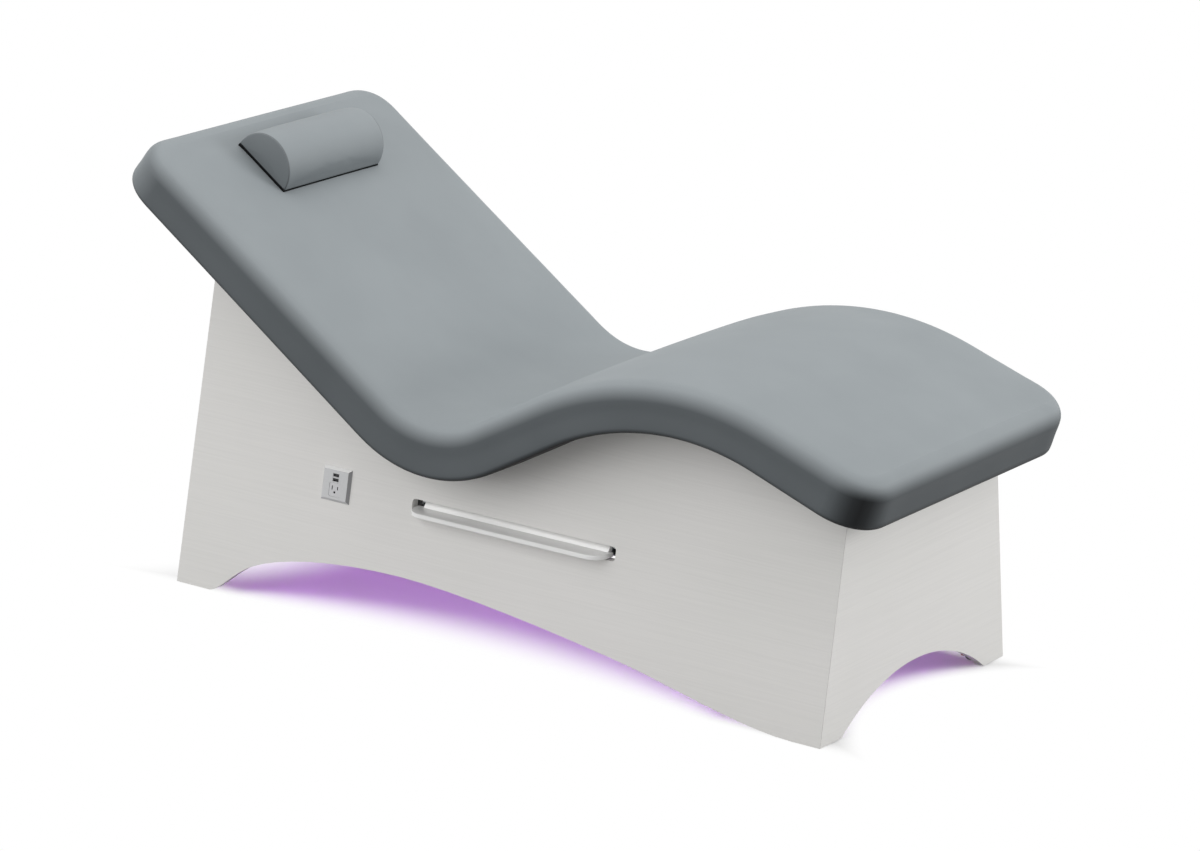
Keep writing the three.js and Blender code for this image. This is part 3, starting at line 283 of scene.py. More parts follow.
back_stretch = wave_stretches[0]
run_x = (valley_place.x + valley_radius * math.sin(back_slope)
         - back_stretch["length"] * math.cos(back_slope))
run_z = (valley_place.z + valley_radius * (1 - math.cos(back_slope))
         - back_stretch["length"] * math.sin(back_slope))
wave_length = 0
for stretch in wave_stretches:
    stretch["start"], stretch["from"] = (run_x, run_z), wave_length
    run_x, run_z, _ = step_along(stretch, stretch["length"])
    wave_length += stretch["length"]


def on_wave(s, y, height):
    """The point s along the wave, y across it and height above the mattress's underside."""
    stretch = [w for w in wave_stretches if w["from"] <= s or w is back_stretch][-1]
    x, z, slope = step_along(stretch, s - stretch["from"])
    lift = height - mattress_thickness
    return Vector((x - lift * math.sin(slope), y, z + lift * math.cos(slope)))


def shares(count):
    """Even shares from 0 to 1."""
    return [i / count for i in range(count + 1)]


# A row runs across the mattress. It has its place along the wave and, at the round corners, how
# far it is turned lengthwise and crosswise.
quarter = math.pi / 2
row_pitch = 0.0125
corner_steps = 8
across_steps = 52
low_steps = 3
side_steps = 6
top_steps = 6
straight = wave_length - 2 * mattress_corner
wave_rows = [(mattress_corner, -math.cos(t * quarter), math.sin(t * quarter))
             for t in shares(corner_steps)]
wave_rows += [(mattress_corner + straight * t, 0, 1)
              for t in shares(round(straight / row_pitch))[1:-1]]
wave_rows += [(wave_length - mattress_corner, math.sin(t * quarter), math.cos(t * quarter))
              for t in shares(corner_steps)]


def mattress_point(row, share, inset, height, crowned):
    """A point of the mattress by its row, share of the half width, inset and height."""
    s, lengthwise, crosswise = row
    s += lengthwise * (mattress_corner - inset)
    drawn_in = waist * 4 * (s / wave_length) * (1 - s / wave_length)
    half = (mattress_width / 2 - mattress_corner
            + crosswise * (mattress_corner - inset - drawn_in))
    from_end = max(0, min(s, wave_length - s, crown_run)) / crown_run
    rise = crowned * mattress_crown * (1 - share * share) * math.sin(from_end * quarter)
    return on_wave(s, share * half, height + rise)


# The cover's tones, in part painted light and shade. Its lower edge is black up to half of
# lining_height, its own black underside together with painted shade, and the black ends at
# lining_end times that height, which grows by lining_rise at the foot end. The foot end's face and
# corners are darkened by painted shade, which falls off up the rounded edge. At the head end the
# side is painted lighter, head_paleness of the way to the top's grey.
lining_height = 0.0055
lining_rise = 1.1
lining_end = 1.5
foot_end_shade = 0.26
foot_corner_shade = 0.78
shade_fall = 1.6
head_paleness = 0.65


def lining_at(height, row, side_high):
    """How black the cover is: black underside and painted shade along its lower edge, painted
    shade at the foot end.
    """
    _, lengthwise, crosswise = row
    at_foot = max(0, lengthwise)
    at_corner = (2 * at_foot * crosswise) ** 2
    hem = min(1, lining_end - height / (lining_height * (1 + lining_rise * at_foot)))
    shade = foot_end_shade * at_foot + foot_corner_shade * at_corner
    return max(0, hem, shade * (1 - shade_fall * max(0, height - side_high) / top_edge))


# The cover can't swell below stapled, swells freely from loose above that, and is held by the
# fold at its corners.
stapled = 0.014
loose = 0.03
corner_hold = 0.9


def follow_at(height, row):
    """How far the cover swells at a height on a row."""
    _, lengthwise, crosswise = row
    held = corner_hold * abs(2 * lengthwise * crosswise)
    return min(1, max(0, height - stapled) / loose) * (1 - held)


def filled_mesh(name, points, faces, **amounts):
    """A mesh with an amount from 0 to 1 on each point under each of the given names."""
    mesh = bpy.data.meshes.new(name)
    mesh.from_pydata(points, [], faces)
    for amount, values in amounts.items():
        mesh.attributes.new(amount, "FLOAT", "POINT").data.foreach_set("value", values)
    return mesh


def mattress_mesh(name, shrink):
    """The closed mattress, drawn in by shrink on its sides and top so that it can swell."""
    high = mattress_thickness - shrink
    side_high = high - top_edge
    # Rings from the underside to the top, each with its inset, its height, and 1 for crowned.
    rings = [(low_edge * (1 - math.sin(t * quarter)), low_edge * (1 - math.cos(t * quarter)), 0)
             for t in shares(low_steps)]
    rings += [(shrink * min(1, 2 * t), low_edge + (side_high - low_edge) * t, 0)
              for t in shares(side_steps)[1:-1]]
    rings += [(shrink + top_edge * (1 - math.cos(t * quarter)),
               side_high + top_edge * math.sin(t * quarter), t == 1) for t in shares(top_steps)]
    cross = [2 * t - 1 for t in shares(across_steps)]
    last = len(wave_rows) - 1
    edge = ([(k, 0) for k in range(last)] + [(last, j) for j in range(across_steps)]
            + [(k, across_steps) for k in range(last, 0, -1)]
            + [(0, j) for j in range(across_steps, 0, -1)])
    points, faces, heights, upper, rows, rims = [], [], [], [], [], []
    for ring, topmost in ((rings[0], False), (rings[-1], True)):
        first = len(points)
        grid = [[first + k * len(cross) + j for j in range(len(cross))]
                for k in range(len(wave_rows))]
        points += [mattress_point(row, share, *ring) for row in wave_rows for share in cross]
        heights += [ring[1]] * (len(points) - first)
        upper += [float(topmost)] * (len(points) - first)
        rows += [row for row in wave_rows for share in cross]
        for k in range(last):
            for j in range(across_steps):
                quad = (grid[k][j], grid[k + 1][j], grid[k + 1][j + 1], grid[k][j + 1])
                faces.append(quad if topmost else quad[::-1])
        rims.append([grid[k][j] for k, j in edge])
    loops = [rims[0]]
    for ring in rings[1:-1]:
        loops.append([len(points) + i for i in range(len(edge))])
        points += [mattress_point(wave_rows[k], cross[j], *ring) for k, j in edge]
        heights += [ring[1]] * len(edge)
        # The share of the painted lighter top: full on the top, and in part on the side at the
        # head end.
        at_top = max(0, ring[1] - side_high) / top_edge
        upper += [max(at_top, -head_paleness * wave_rows[k][1]) for k, j in edge]
        rows += [wave_rows[k] for k, j in edge]
    loops.append(rims[1])
    for low_loop, high_loop in zip(loops, loops[1:]):
        for i in range(len(edge)):
            n = (i + 1) % len(edge)
            faces.append((low_loop[i], low_loop[n], high_loop[n], high_loop[i]))
    return filled_mesh(
        name, points, faces, upper=upper,
        follow=[follow_at(h, row) for h, row in zip(heights, rows)],
        lining=[lining_at(h, row, side_high) for h, row in zip(heights, rows)])


def puff_up(piece, frames, pressure, cap):
    """Swells a closed mesh under pressure as cloth, as far as each of its points may follow."""
    follow = [entry.value for entry in piece.data.attributes["follow"].data]
    start = [v.co.copy() for v in piece.data.vertices]
    cloth = piece.modifiers.new("stuffing", "CLOTH")
    cloth.settings.use_pressure = True
    cloth.settings.uniform_pressure_force = pressure
    cloth.settings.effector_weights.gravity = 0
    cloth.settings.quality = 5
    scene = bpy.context.scene
    for number in range(1, frames + 1):
        scene.frame_set(number)
    swollen = piece.evaluated_get(bpy.context.evaluated_depsgraph_get())
    moved = [v.co.copy() for v in swollen.data.vertices]
    piece.modifiers.remove(cloth)
    scene.frame_set(1)
    for vertex, was, now, share in zip(piece.data.vertices, start, moved, follow):
        shift = now - was
        far = shift.length
        if far:
            shift *= cap * math.tanh(far / cap) / far
        vertex.co = was + shift * share
    piece.data.update()


def place_piece(name, mesh):
    """Links a new piece."""
    piece = bpy.data.objects.new(name, mesh)
    bpy.context.collection.objects.link(piece)
    return piece


def soften(piece):
    """Rounds a quad mesh by one subdivision, applied, and shades it smooth."""
    rounding = piece.modifiers.new("rounding", "SUBSURF")
    rounding.levels = rounding.render_levels = 1
    depsgraph = bpy.context.evaluated_depsgraph_get()
    mesh = bpy.data.meshes.new_from_object(piece.evaluated_get(depsgraph))
    piece.modifiers.remove(rounding)
    piece.data = mesh
    for polygon in mesh.polygons:
        polygon.use_smooth = True


# Vinyl on a knitted back has a close pebble grain and a dull shine. The grain is some 0.3 mm, too
# fine to show, and is drawn at 1.1 mm. In the photograph the cover is a deeper grey down its sides
# than on top, nearly black round the corners at the foot, and black along the lower edge, so the
# vinyl is drawn in those tones: a painted lighter top, painted shade down the sides and round the
# foot corners, and along the lower edge its own black underside together with painted shade.
vinyl_grain = 0.0011
mottle_size = 0.2
top_grey_from = 0.8
vinyl, tree, place = new_material("smooth_upholstery_vinyl")
pebbles = add_node(tree, "ShaderNodeTexVoronoi", {"Vector": place, "Scale": 1 / vinyl_grain})
mottle = add_node(tree, "ShaderNodeTexNoise", {
    "Vector": place, "Scale": 1 / mottle_size, "Detail": 3.0})
# The sides' deeper grey is painted shade, and the top's paler grey is painted light.
vinyl_painted_shaded = add_node(tree, "ShaderNodeValToRGB", {"Fac": mottle.outputs["Fac"]}, stops=[
    (0.3, linear("#595E61")), (0.7, linear("#5E6366"))])
vinyl_painted_lit = add_node(tree, "ShaderNodeValToRGB", {"Fac": mottle.outputs["Fac"]}, stops=[
    (0.3, linear("#8F9598")), (0.7, linear("#949A9D"))])
on_top = add_node(tree, "ShaderNodeAttribute", attribute_name="upper")
top_share = add_node(tree, "ShaderNodeMapRange", {
    "Value": on_top.outputs["Fac"], "From Max": top_grey_from})
cover_colour = add_node(tree, "ShaderNodeMix", {
    "Factor": top_share.outputs["Result"], 6: vinyl_painted_shaded.outputs[0], 7: vinyl_painted_lit.outputs[0]},
    data_type="RGBA")
# Black underside and painted shade, as the mesh gives them.
at_lining = add_node(tree, "ShaderNodeAttribute", attribute_name="lining")
vinyl_colour = add_node(tree, "ShaderNodeMix", {
    "Factor": at_lining.outputs["Fac"], 6: cover_colour.outputs[2], 7: linear("#101113")},
    data_type="RGBA")
pebble_bump = add_node(tree, "ShaderNodeBump", {
    "Height": pebbles.outputs["Distance"], "Strength": 0.05, "Distance": 0.0003})
vinyl_skin = add_node(tree, "ShaderNodeBsdfPrincipled", {
    "Base Color": vinyl_colour.outputs[2], "Roughness": 0.55, "IOR": 1.5,
    "Specular IOR Level": 0.15, "Normal": pebble_bump.outputs[0]})
add_node(tree, "ShaderNodeOutputMaterial", {"Surface": vinyl_skin.outputs[0]})

mattress_swell = 0.0006
mattress = place_piece("mattress_cover", mattress_mesh("mattress_cover", mattress_swell))
puff_up(mattress, frames=16, pressure=6, cap=6 * mattress_swell)
soften(mattress)
mattress.data.materials.append(vinyl)
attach(mattress, "base")
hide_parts("cushion_cover", "cushion_foam")


# Pillow. A half-round foam bolster in the same vinyl: one panel over the top, a flat cap sewn on
# at each end, and a strip of rubber foam under it that keeps it from sliding down the back.
pillow_radius = 0.0695
pillow_length = 0.318
pillow_from_head = 0.147
pillow_gap = 0.0003
pillow_lift = 0.0043
pillow_foot_edge = 0.004
cap_dome = 0.0035
cap_edge = 0.003
cap_middle = 0.42
seam_width = 0.0016
seam_depth = 0.0012
seam_pull = 0.0015
seam_pull_depth = 0.3 * seam_depth
seam_margin = 0.008
base_steps = 22
foot_steps = 3
round_steps = 48
body_steps = 24
cap_rings = (0.3, 0.5, 0.68, 0.82, 0.9, 0.96)
pillow_origin = on_wave(pillow_from_head, 0, mattress_thickness + mattress_crown + pillow_gap)
down_back = Vector((math.cos(back_slope), 0, math.sin(back_slope)))
off_back = Vector((-math.sin(back_slope), 0, math.cos(back_slope)))

# The cover's tones, painted light and shade: how near the panel, from its base to its top, and
# the caps come to the grey of the mattress's top, and how high above their lower edge they are
# black. The lower edge's black and the darker seams are painted shade.
panel_shares = (0.38, 0.82)
cap_share = 0.34
panel_lining = 0.0016
cap_lining = 0.0046
lining_blur = 0.001
seam_painted_shade = 0.5
seam_shade_width = 1.2 * seam_width

# The vinyl is held by the seams and by the base, and swells freely this far from them.
seam_hold = 0.02
base_hold = 0.012


def pillow_follow(point):
    """How far a point of the pillow swells: not on its base and caps, little beside its seams."""
    local = point - pillow_origin
    from_seam = max(0, pillow_length / 2 - cap_dome - seam_width - abs(local.y))
    above = local.dot(off_back) - pillow_lift
    return min(1, from_seam / seam_hold) * max(0, min(1, above / base_hold))


def pillow_mesh(name, shrink):
    """The closed half-round bolster, drawn in by shrink on its round side and its caps."""
    radius = pillow_radius - shrink
    corner = pillow_foot_edge
    low_turn = math.asin(corner / radius)
    # The outline of an end, as across and up, and the stations along, as y and a share of size.
    outline = [((2 * t - 1) * (radius - corner), 0) for t in shares(base_steps)[:-1]]
    outline += [(radius - corner * (1 - math.sin(t * quarter)),
                 corner * (1 - math.cos(t * quarter))) for t in shares(foot_steps)[:-1]]
    turns = [low_turn + (math.pi - 2 * low_turn) * t for t in shares(round_steps)]
    outline += [(radius * math.cos(a), radius * math.sin(a)) for a in turns]
    outline += [(-radius + corner * (1 - math.cos(t * quarter)),
                 corner * (1 - math.sin(t * quarter))) for t in shares(foot_steps)[1:-1]]
    half = pillow_length / 2 - shrink
    seam_at = half - cap_dome
    end = [(half - cap_dome * f * f, f) for f in cap_rings]
    end += [
        (seam_at, 1 - cap_edge / radius),
        (seam_at - seam_width / 2, 1 - seam_depth / radius),
        (seam_at - seam_width, 1 - seam_depth / radius),
        (seam_at - seam_width - seam_pull, 1 - seam_pull_depth / radius),
    ]
    body_half = seam_at - seam_margin
    body = [(body_half * (1 - 2 * t), 1) for t in shares(body_steps)]
    stations = end + body + [(-y, f) for y, f in reversed(end)]
    points, faces, upper, lining = [], [], [], []
    for y, f in stations:
        on_cap = abs(y) >= seam_at
        rise = cap_middle * radius * (1 - f) if on_cap else 0
        low, high = (cap_share, cap_share) if on_cap else panel_shares
        painted_shade_to = cap_lining if on_cap else panel_lining
        # Painted shade in the seams and along the lower edge.
        in_seam = seam_painted_shade if seam_at - seam_shade_width < abs(y) < seam_at else 0
        points += [pillow_origin + down_back * (x * f) + Vector((0, y, 0))
                   + off_back * (pillow_lift + rise + z * f) for x, z in outline]
        upper += [low + (high - low) * z / radius for x, z in outline]
        lining += [max(in_seam, min(1, (painted_shade_to - rise - z * f) / lining_blur))
                   for x, z in outline]
    count = len(outline)
    for k in range(len(stations) - 1):
        for i in range(count):
            n = (i + 1) % count
            faces.append((k * count + i, k * count + n, (k + 1) * count + n, (k + 1) * count + i))
    for row, y, turned in ((0, half, False), (len(stations) - 1, -half, True)):
        points.append(pillow_origin + Vector((0, y, 0))
                      + off_back * (pillow_lift + cap_middle * radius))
        upper.append(cap_share)
        lining.append(0)
        for i in range(count):
            pair = (row * count + (i + 1) % count, row * count + i)
            faces.append((pair[::-1] if turned else pair) + (len(points) - 1,))
    return filled_mesh(name, points, faces, upper=upper, lining=lining,
                       follow=[pillow_follow(point) for point in points])


pillow_swell = 0.002
pillow = place_piece("pillow_cover_sewn", pillow_mesh("pillow_cover_sewn", pillow_swell))
puff_up(pillow, frames=14, pressure=4, cap=1.1 * pillow_swell)
soften(pillow)
pillow.data.materials.append(vinyl)
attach(pillow, "pillow")
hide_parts("pillow_cover", "pillow_foam")


# Frame inside the base, and the boards that the mattress lies on. Birch plywood, cut on a router
# and glued: thin pale veneers whose grain runs along the lounger, sanded and left bare. A fibre
# is some 0.1 mm wide and is drawn at 1.2 mm, which reads as a soft straight grain.
fibre_width = 0.0012
fibre_length = 0.09
ring_width = 0.018
ring_length = 0.15
birch_ply, tree, place = new_material("sanded_birch_plywood")
along_fibre = add_node(tree, "ShaderNodeMapping", {
    "Vector": place, "Scale": (1 / fibre_length, 1 / fibre_width, 1 / fibre_width)})
fibres = add_node(tree, "ShaderNodeTexNoise", {
    "Vector": along_fibre.outputs[0], "Scale": 0.5, "Detail": 3.0})
along_rings = add_node(tree, "ShaderNodeMapping", {
    "Vector": place, "Scale": (1 / ring_length, 1 / ring_width, 1 / ring_width)})
rings_seen = add_node(tree, "ShaderNodeTexNoise", {
    "Vector": along_rings.outputs[0], "Scale": 0.6, "Detail": 2.0, "Distortion": 0.8})
fibre_colour = add_node(tree, "ShaderNodeValToRGB", {"Fac": fibres.outputs["Fac"]}, stops=[
    (0.3, linear("#C9AA7E")), (0.7, linear("#DCC39B"))])
ring_colour = add_node(tree, "ShaderNodeValToRGB", {"Fac": rings_seen.outputs["Fac"]}, stops=[
    (0.35, linear("#C3A274")), (0.65, linear("#E0C9A4"))])
birch_colour = add_node(tree, "ShaderNodeMix", {
    "Factor": 0.5, 6: fibre_colour.outputs[0], 7: ring_colour.outputs[0]}, data_type="RGBA")
fibre_bump = add_node(tree, "ShaderNodeBump", {
    "Height": fibres.outputs["Fac"], "Strength": 0.15, "Distance": 0.0003})
birch_face = add_node(tree, "ShaderNodeBsdfPrincipled", {
    "Base Color": birch_colour.outputs[2], "Roughness": 0.62, "Normal": fibre_bump.outputs[0]})
add_node(tree, "ShaderNodeOutputMaterial", {"Surface": birch_face.outputs[0]})
dress(birch_ply, "rib_head", "rib_foot", "deck_rail_near", "deck_rail_far",
      "deck_board_back", "deck_board_seat", "deck_board_leg",
      "corner_post_foot_near", "corner_post_foot_far",
      "corner_post_head_near", "corner_post_head_far")

# The tray's own frame is a matt dark grey, painted shade, so that the slot round the tray looks
# empty.
dark_shade_ply, tree, place = new_material("plywood_dark_as_painted_shade")
along_dark_fibre = add_node(tree, "ShaderNodeMapping", {
    "Vector": place, "Scale": (1 / fibre_width, 1 / fibre_length, 1 / fibre_width)})
dark_fibres = add_node(tree, "ShaderNodeTexNoise", {
    "Vector": along_dark_fibre.outputs[0], "Scale": 0.5, "Detail": 3.0})
painted_shade_colour = add_node(tree, "ShaderNodeValToRGB", {
    "Fac": dark_fibres.outputs["Fac"]}, stops=[
    (0.3, linear("#434344")), (0.7, linear("#4F4F4F"))])
dark_fibre_bump = add_node(tree, "ShaderNodeBump", {
    "Height": dark_fibres.outputs["Fac"], "Strength": 0.15, "Distance": 0.0003})
dark_ply_face = add_node(tree, "ShaderNodeBsdfPrincipled", {
    "Base Color": painted_shade_colour.outputs[0], "Roughness": 0.7, "Specular IOR Level": 0.3,
    "Normal": dark_fibre_bump.outputs[0]})
add_node(tree, "ShaderNodeOutputMaterial", {"Surface": dark_ply_face.outputs[0]})
dress(dark_shade_ply, "tray_beam", "tray_cheek_foot", "tray_cheek_head")


# Levelling feet. A round pad of grey nylon moulded on a zinc-plated steel stud, which screws up
# into the corner post: matt and faintly pitted below, bright and finely scratched above. The
# pits are some 0.1 mm wide, too fine to show, and are drawn at 0.9 mm.
pad_top = 0.0062
nylon_pit = 0.0009
foot_material, tree, place = new_material("nylon_pad_on_zinc_plated_stud")
pits = add_node(tree, "ShaderNodeTexNoise", {
    "Vector": place, "Scale": 1 / nylon_pit, "Detail": 2.0})
pit_bump = add_node(tree, "ShaderNodeBump", {
    "Height": pits.outputs["Fac"], "Strength": 0.12, "Distance": 0.0002})
nylon_colour = add_node(tree, "ShaderNodeValToRGB", {"Fac": pits.outputs["Fac"]}, stops=[
    (0.3, linear("#7C7E80")), (0.7, linear("#87898B"))])
nylon = add_node(tree, "ShaderNodeBsdfPrincipled", {
    "Base Color": nylon_colour.outputs[0], "Roughness": 0.55, "IOR": 1.53,
    "Normal": pit_bump.outputs[0]})
stud_steel = add_node(tree, "ShaderNodeBsdfPrincipled", {
    "Base Color": linear("#B9BCBE"), "Metallic": 1.0, "Roughness": 0.34,
    "Normal": pit_bump.outputs[0]})
foot_height = add_node(tree, "ShaderNodeSeparateXYZ", {0: place})
on_stud = add_node(tree, "ShaderNodeMath", {
    0: foot_height.outputs["Z"], 1: pad_top}, operation="GREATER_THAN")
foot_mix = add_node(tree, "ShaderNodeMixShader", {
    0: on_stud.outputs[0], 1: nylon.outputs[0], 2: stud_steel.outputs[0]})
add_node(tree, "ShaderNodeOutputMaterial", {"Surface": foot_mix.outputs[0]})
dress(foot_material, "levelling_foot_foot_near", "levelling_foot_foot_far",
      "levelling_foot_head_near", "levelling_foot_head_far")


# Grip under the pillow. A sheet of black rubber foam, skived from a block and glued to the cover.
# Its cut pores give a dead matt black. They are some 0.3 mm wide and are drawn at 0.8 mm.
pore_size = 0.0008
grip_rubber, tree, place = new_material("open_pore_rubber_foam")
pores = add_node(tree, "ShaderNodeTexVoronoi", {"Vector": place, "Scale": 1 / pore_size})
pore_colour = add_node(tree, "ShaderNodeValToRGB", {"Fac": pores.outputs["Distance"]}, stops=[
    (0.15, linear("#08090A")), (0.6, linear("#17191B"))])
pore_bump = add_node(tree, "ShaderNodeBump", {
    "Height": pores.outputs["Distance"], "Strength": 0.3, "Distance": 0.0004})
rubber_skin = add_node(tree, "ShaderNodeBsdfPrincipled", {
    "Base Color": pore_colour.outputs[0], "Roughness": 0.9, "Specular IOR Level": 0.2,
    "Normal": pore_bump.outputs[0]})
add_node(tree, "ShaderNodeOutputMaterial", {"Surface": rubber_skin.outputs[0]})
dress(grip_rubber, "pillow_grip")


# Slide-out tray. Board and rim are fibreboard sprayed with white satin lacquer, rubbed down
# between coats, which leaves a faint orange peel. A mat of felt is dropped into the rim.
peel_size = 0.004
lacquer_patch = 0.111
lacquer, tree, place = new_material("sprayed_white_satin_lacquer")
peel = add_node(tree, "ShaderNodeTexNoise", {
    "Vector": place, "Scale": 1 / peel_size, "Detail": 1.0})
lacquer_cloud = add_node(tree, "ShaderNodeTexNoise", {
    "Vector": place, "Scale": 1 / lacquer_patch, "Detail": 2.0})
lacquer_colour = add_node(tree, "ShaderNodeValToRGB", {
    "Fac": lacquer_cloud.outputs["Fac"]}, stops=[
    (0.3, linear("#F2F2F1")), (0.7, linear("#F7F7F6"))])
peel_bump = add_node(tree, "ShaderNodeBump", {
    "Height": peel.outputs["Fac"], "Strength": 0.05, "Distance": 0.0002})
lacquer_skin = add_node(tree, "ShaderNodeBsdfPrincipled", {
    "Base Color": lacquer_colour.outputs[0], "Roughness": 0.32, "Coat Weight": 1.0,
    "Coat Roughness": 0.2, "Normal": peel_bump.outputs[0]})
add_node(tree, "ShaderNodeOutputMaterial", {"Surface": lacquer_skin.outputs[0]})
dress(lacquer, "tray_board", "tray_rim")

# The felt is needled from grey wool, dull and a little cloudy. Its hairs are some 0.03 mm thick
# and are drawn at 0.7 mm, as fine as they can be to show.
felt_hair = 0.0007
tuft_size = 0.0111
felt, tree, place = new_material("needled_grey_felt")
hairs = add_node(tree, "ShaderNodeTexNoise", {
    "Vector": place, "Scale": 1 / felt_hair, "Detail": 3.0, "Distortion": 1.5})
tufts = add_node(tree, "ShaderNodeTexNoise", {
    "Vector": place, "Scale": 1 / tuft_size, "Detail": 2.0})
hair_colour = add_node(tree, "ShaderNodeValToRGB", {"Fac": hairs.outputs["Fac"]}, stops=[
    (0.3, linear("#8E9092")), (0.7, linear("#A9ABAD"))])
tuft_colour = add_node(tree, "ShaderNodeValToRGB", {"Fac": tufts.outputs["Fac"]}, stops=[
    (0.35, linear("#949698")), (0.65, linear("#A2A4A6"))])
felt_colour = add_node(tree, "ShaderNodeMix", {
    "Factor": 0.4, 6: hair_colour.outputs[0], 7: tuft_colour.outputs[0]}, data_type="RGBA")
hair_bump = add_node(tree, "ShaderNodeBump", {
    "Height": hairs.outputs["Fac"], "Strength": 0.4, "Distance": 0.0004})
felt_skin = add_node(tree, "ShaderNodeBsdfPrincipled", {
    "Base Color": felt_colour.outputs[2], "Roughness": 0.95, "Sheen Weight": 0.25,
    "Normal": hair_bump.outputs[0]})
add_node(tree, "ShaderNodeOutputMaterial", {"Surface": felt_skin.outputs[0]})
dress(felt, "tray_mat")

# Only edges sharper than this are sanded, which leaves the facets of the bowed front alone.
sanded_width = 0.0012
sanded_over = math.radians(50)
for name in ("tray_board", "tray_rim"):
    sanded = nodes[name].modifiers.new("sanded_edge", "BEVEL")
    sanded.width = sanded_width
    sanded.segments = 2
    sanded.angle_limit = sanded_over


# Tray slides. Channels rolled from zinc-plated steel strip: the rolls leave fine lines along
# them, and the zinc is bright with a soft spangle. The lines lie some 0.1 mm apart and are drawn
# at 0.6 mm.
roll_line = 0.0006
roll_length = 0.0833
spangle_size = 0.007
slide_steel, tree, place = new_material("roll_formed_zinc_plated_steel")
along_roll = add_node(tree, "ShaderNodeMapping", {
    "Vector": place, "Scale": (1 / roll_line, 1 / roll_length, 1 / roll_line)})
roll_lines = add_node(tree, "ShaderNodeTexNoise", {
    "Vector": along_roll.outputs[0], "Scale": 0.6, "Detail": 2.0})
spangle = add_node(tree, "ShaderNodeTexVoronoi", {"Vector": place, "Scale": 1 / spangle_size})
zinc_colour = add_node(tree, "ShaderNodeValToRGB", {"Fac": spangle.outputs["Distance"]}, stops=[
    (0.1, linear("#B4B8BB")), (0.8, linear("#C6CACC"))])
zinc_rough = add_node(tree, "ShaderNodeMapRange", {
    "Value": roll_lines.outputs["Fac"], "To Min": 0.26, "To Max": 0.42})
roll_bump = add_node(tree, "ShaderNodeBump", {
    "Height": roll_lines.outputs["Fac"], "Strength": 0.1, "Distance": 0.0002})
zinc = add_node(tree, "ShaderNodeBsdfPrincipled", {
    "Base Color": zinc_colour.outputs[0], "Metallic": 1.0,
    "Roughness": zinc_rough.outputs["Result"], "Normal": roll_bump.outputs[0]})
add_node(tree, "ShaderNodeOutputMaterial", {"Surface": zinc.outputs[0]})
dress(slide_steel, "slide_rail_foot", "slide_rail_head",
      "slide_runner_foot", "slide_runner_head")


# Power outlet. A bevelled cover plate and a one-piece insert of mains and charging sockets, both
# moulded: the plate painted silver grey with fine flake, the insert pale and spark-eroded, which
# gives the one a soft gleam and the other an even matt face.

# The flake is some 0.05 mm across, too fine to show, and is drawn ten times as coarse.
flake_size = 0.0005
plate_paint, tree, place = new_material("silver_grey_painted_polycarbonate")
flakes = add_node(tree, "ShaderNodeTexVoronoi", {"Vector": place, "Scale": 1 / flake_size})
flake_colour = add_node(tree, "ShaderNodeValToRGB", {"Fac": flakes.outputs["Distance"]}, stops=[
    (0.1, linear("#D4D5D6")), (0.8, linear("#C6C7C8"))])
flake_bump = add_node(tree, "ShaderNodeBump", {
    "Height": flakes.outputs["Distance"], "Strength": 0.04, "Distance": 0.0001})
# In the photograph the plate's bevel on top is nearly white and the one towards the foot dark, so
# it is painted so: a painted highlight on the top bevel and painted shade on the foot bevel.
plate_turn = add_node(tree, "ShaderNodeSeparateXYZ", {
    0: add_node(tree, "ShaderNodeTexCoord").outputs["Normal"]})
on_top_bevel = add_node(tree, "ShaderNodeMapRange", {
    "Value": plate_turn.outputs["Z"], "From Min": 0.4, "From Max": 0.6})
on_foot_bevel = add_node(tree, "ShaderNodeMapRange", {
    "Value": plate_turn.outputs["X"], "From Min": 0.3, "From Max": 0.5})
top_bevel_colour = add_node(tree, "ShaderNodeMix", {
    "Factor": on_top_bevel.outputs["Result"], 6: flake_colour.outputs[0],
    7: linear("#F8F8F7")}, data_type="RGBA")
plate_colour = add_node(tree, "ShaderNodeMix", {
    "Factor": on_foot_bevel.outputs["Result"], 6: top_bevel_colour.outputs[2],
    7: linear("#909192")}, data_type="RGBA")
plate_skin = add_node(tree, "ShaderNodeBsdfPrincipled", {
    "Base Color": plate_colour.outputs[2], "Roughness": 0.36, "IOR": 1.58,
    "Normal": flake_bump.outputs[0]})
add_node(tree, "ShaderNodeOutputMaterial", {"Surface": plate_skin.outputs[0]})
dress(plate_paint, "outlet_plate")

# The pits of the sparks are as fine as the flake, and are drawn at 0.4 mm.
spark_size = 0.0004
socket_plastic, tree, place = new_material("spark_eroded_pale_polycarbonate")
sparks = add_node(tree, "ShaderNodeTexNoise", {
    "Vector": place, "Scale": 1 / spark_size, "Detail": 2.0})
spark_colour = add_node(tree, "ShaderNodeValToRGB", {"Fac": sparks.outputs["Fac"]}, stops=[
    (0.3, linear("#CACACC")), (0.7, linear("#D3D3D5"))])
spark_bump = add_node(tree, "ShaderNodeBump", {
    "Height": sparks.outputs["Fac"], "Strength": 0.08, "Distance": 0.0001})
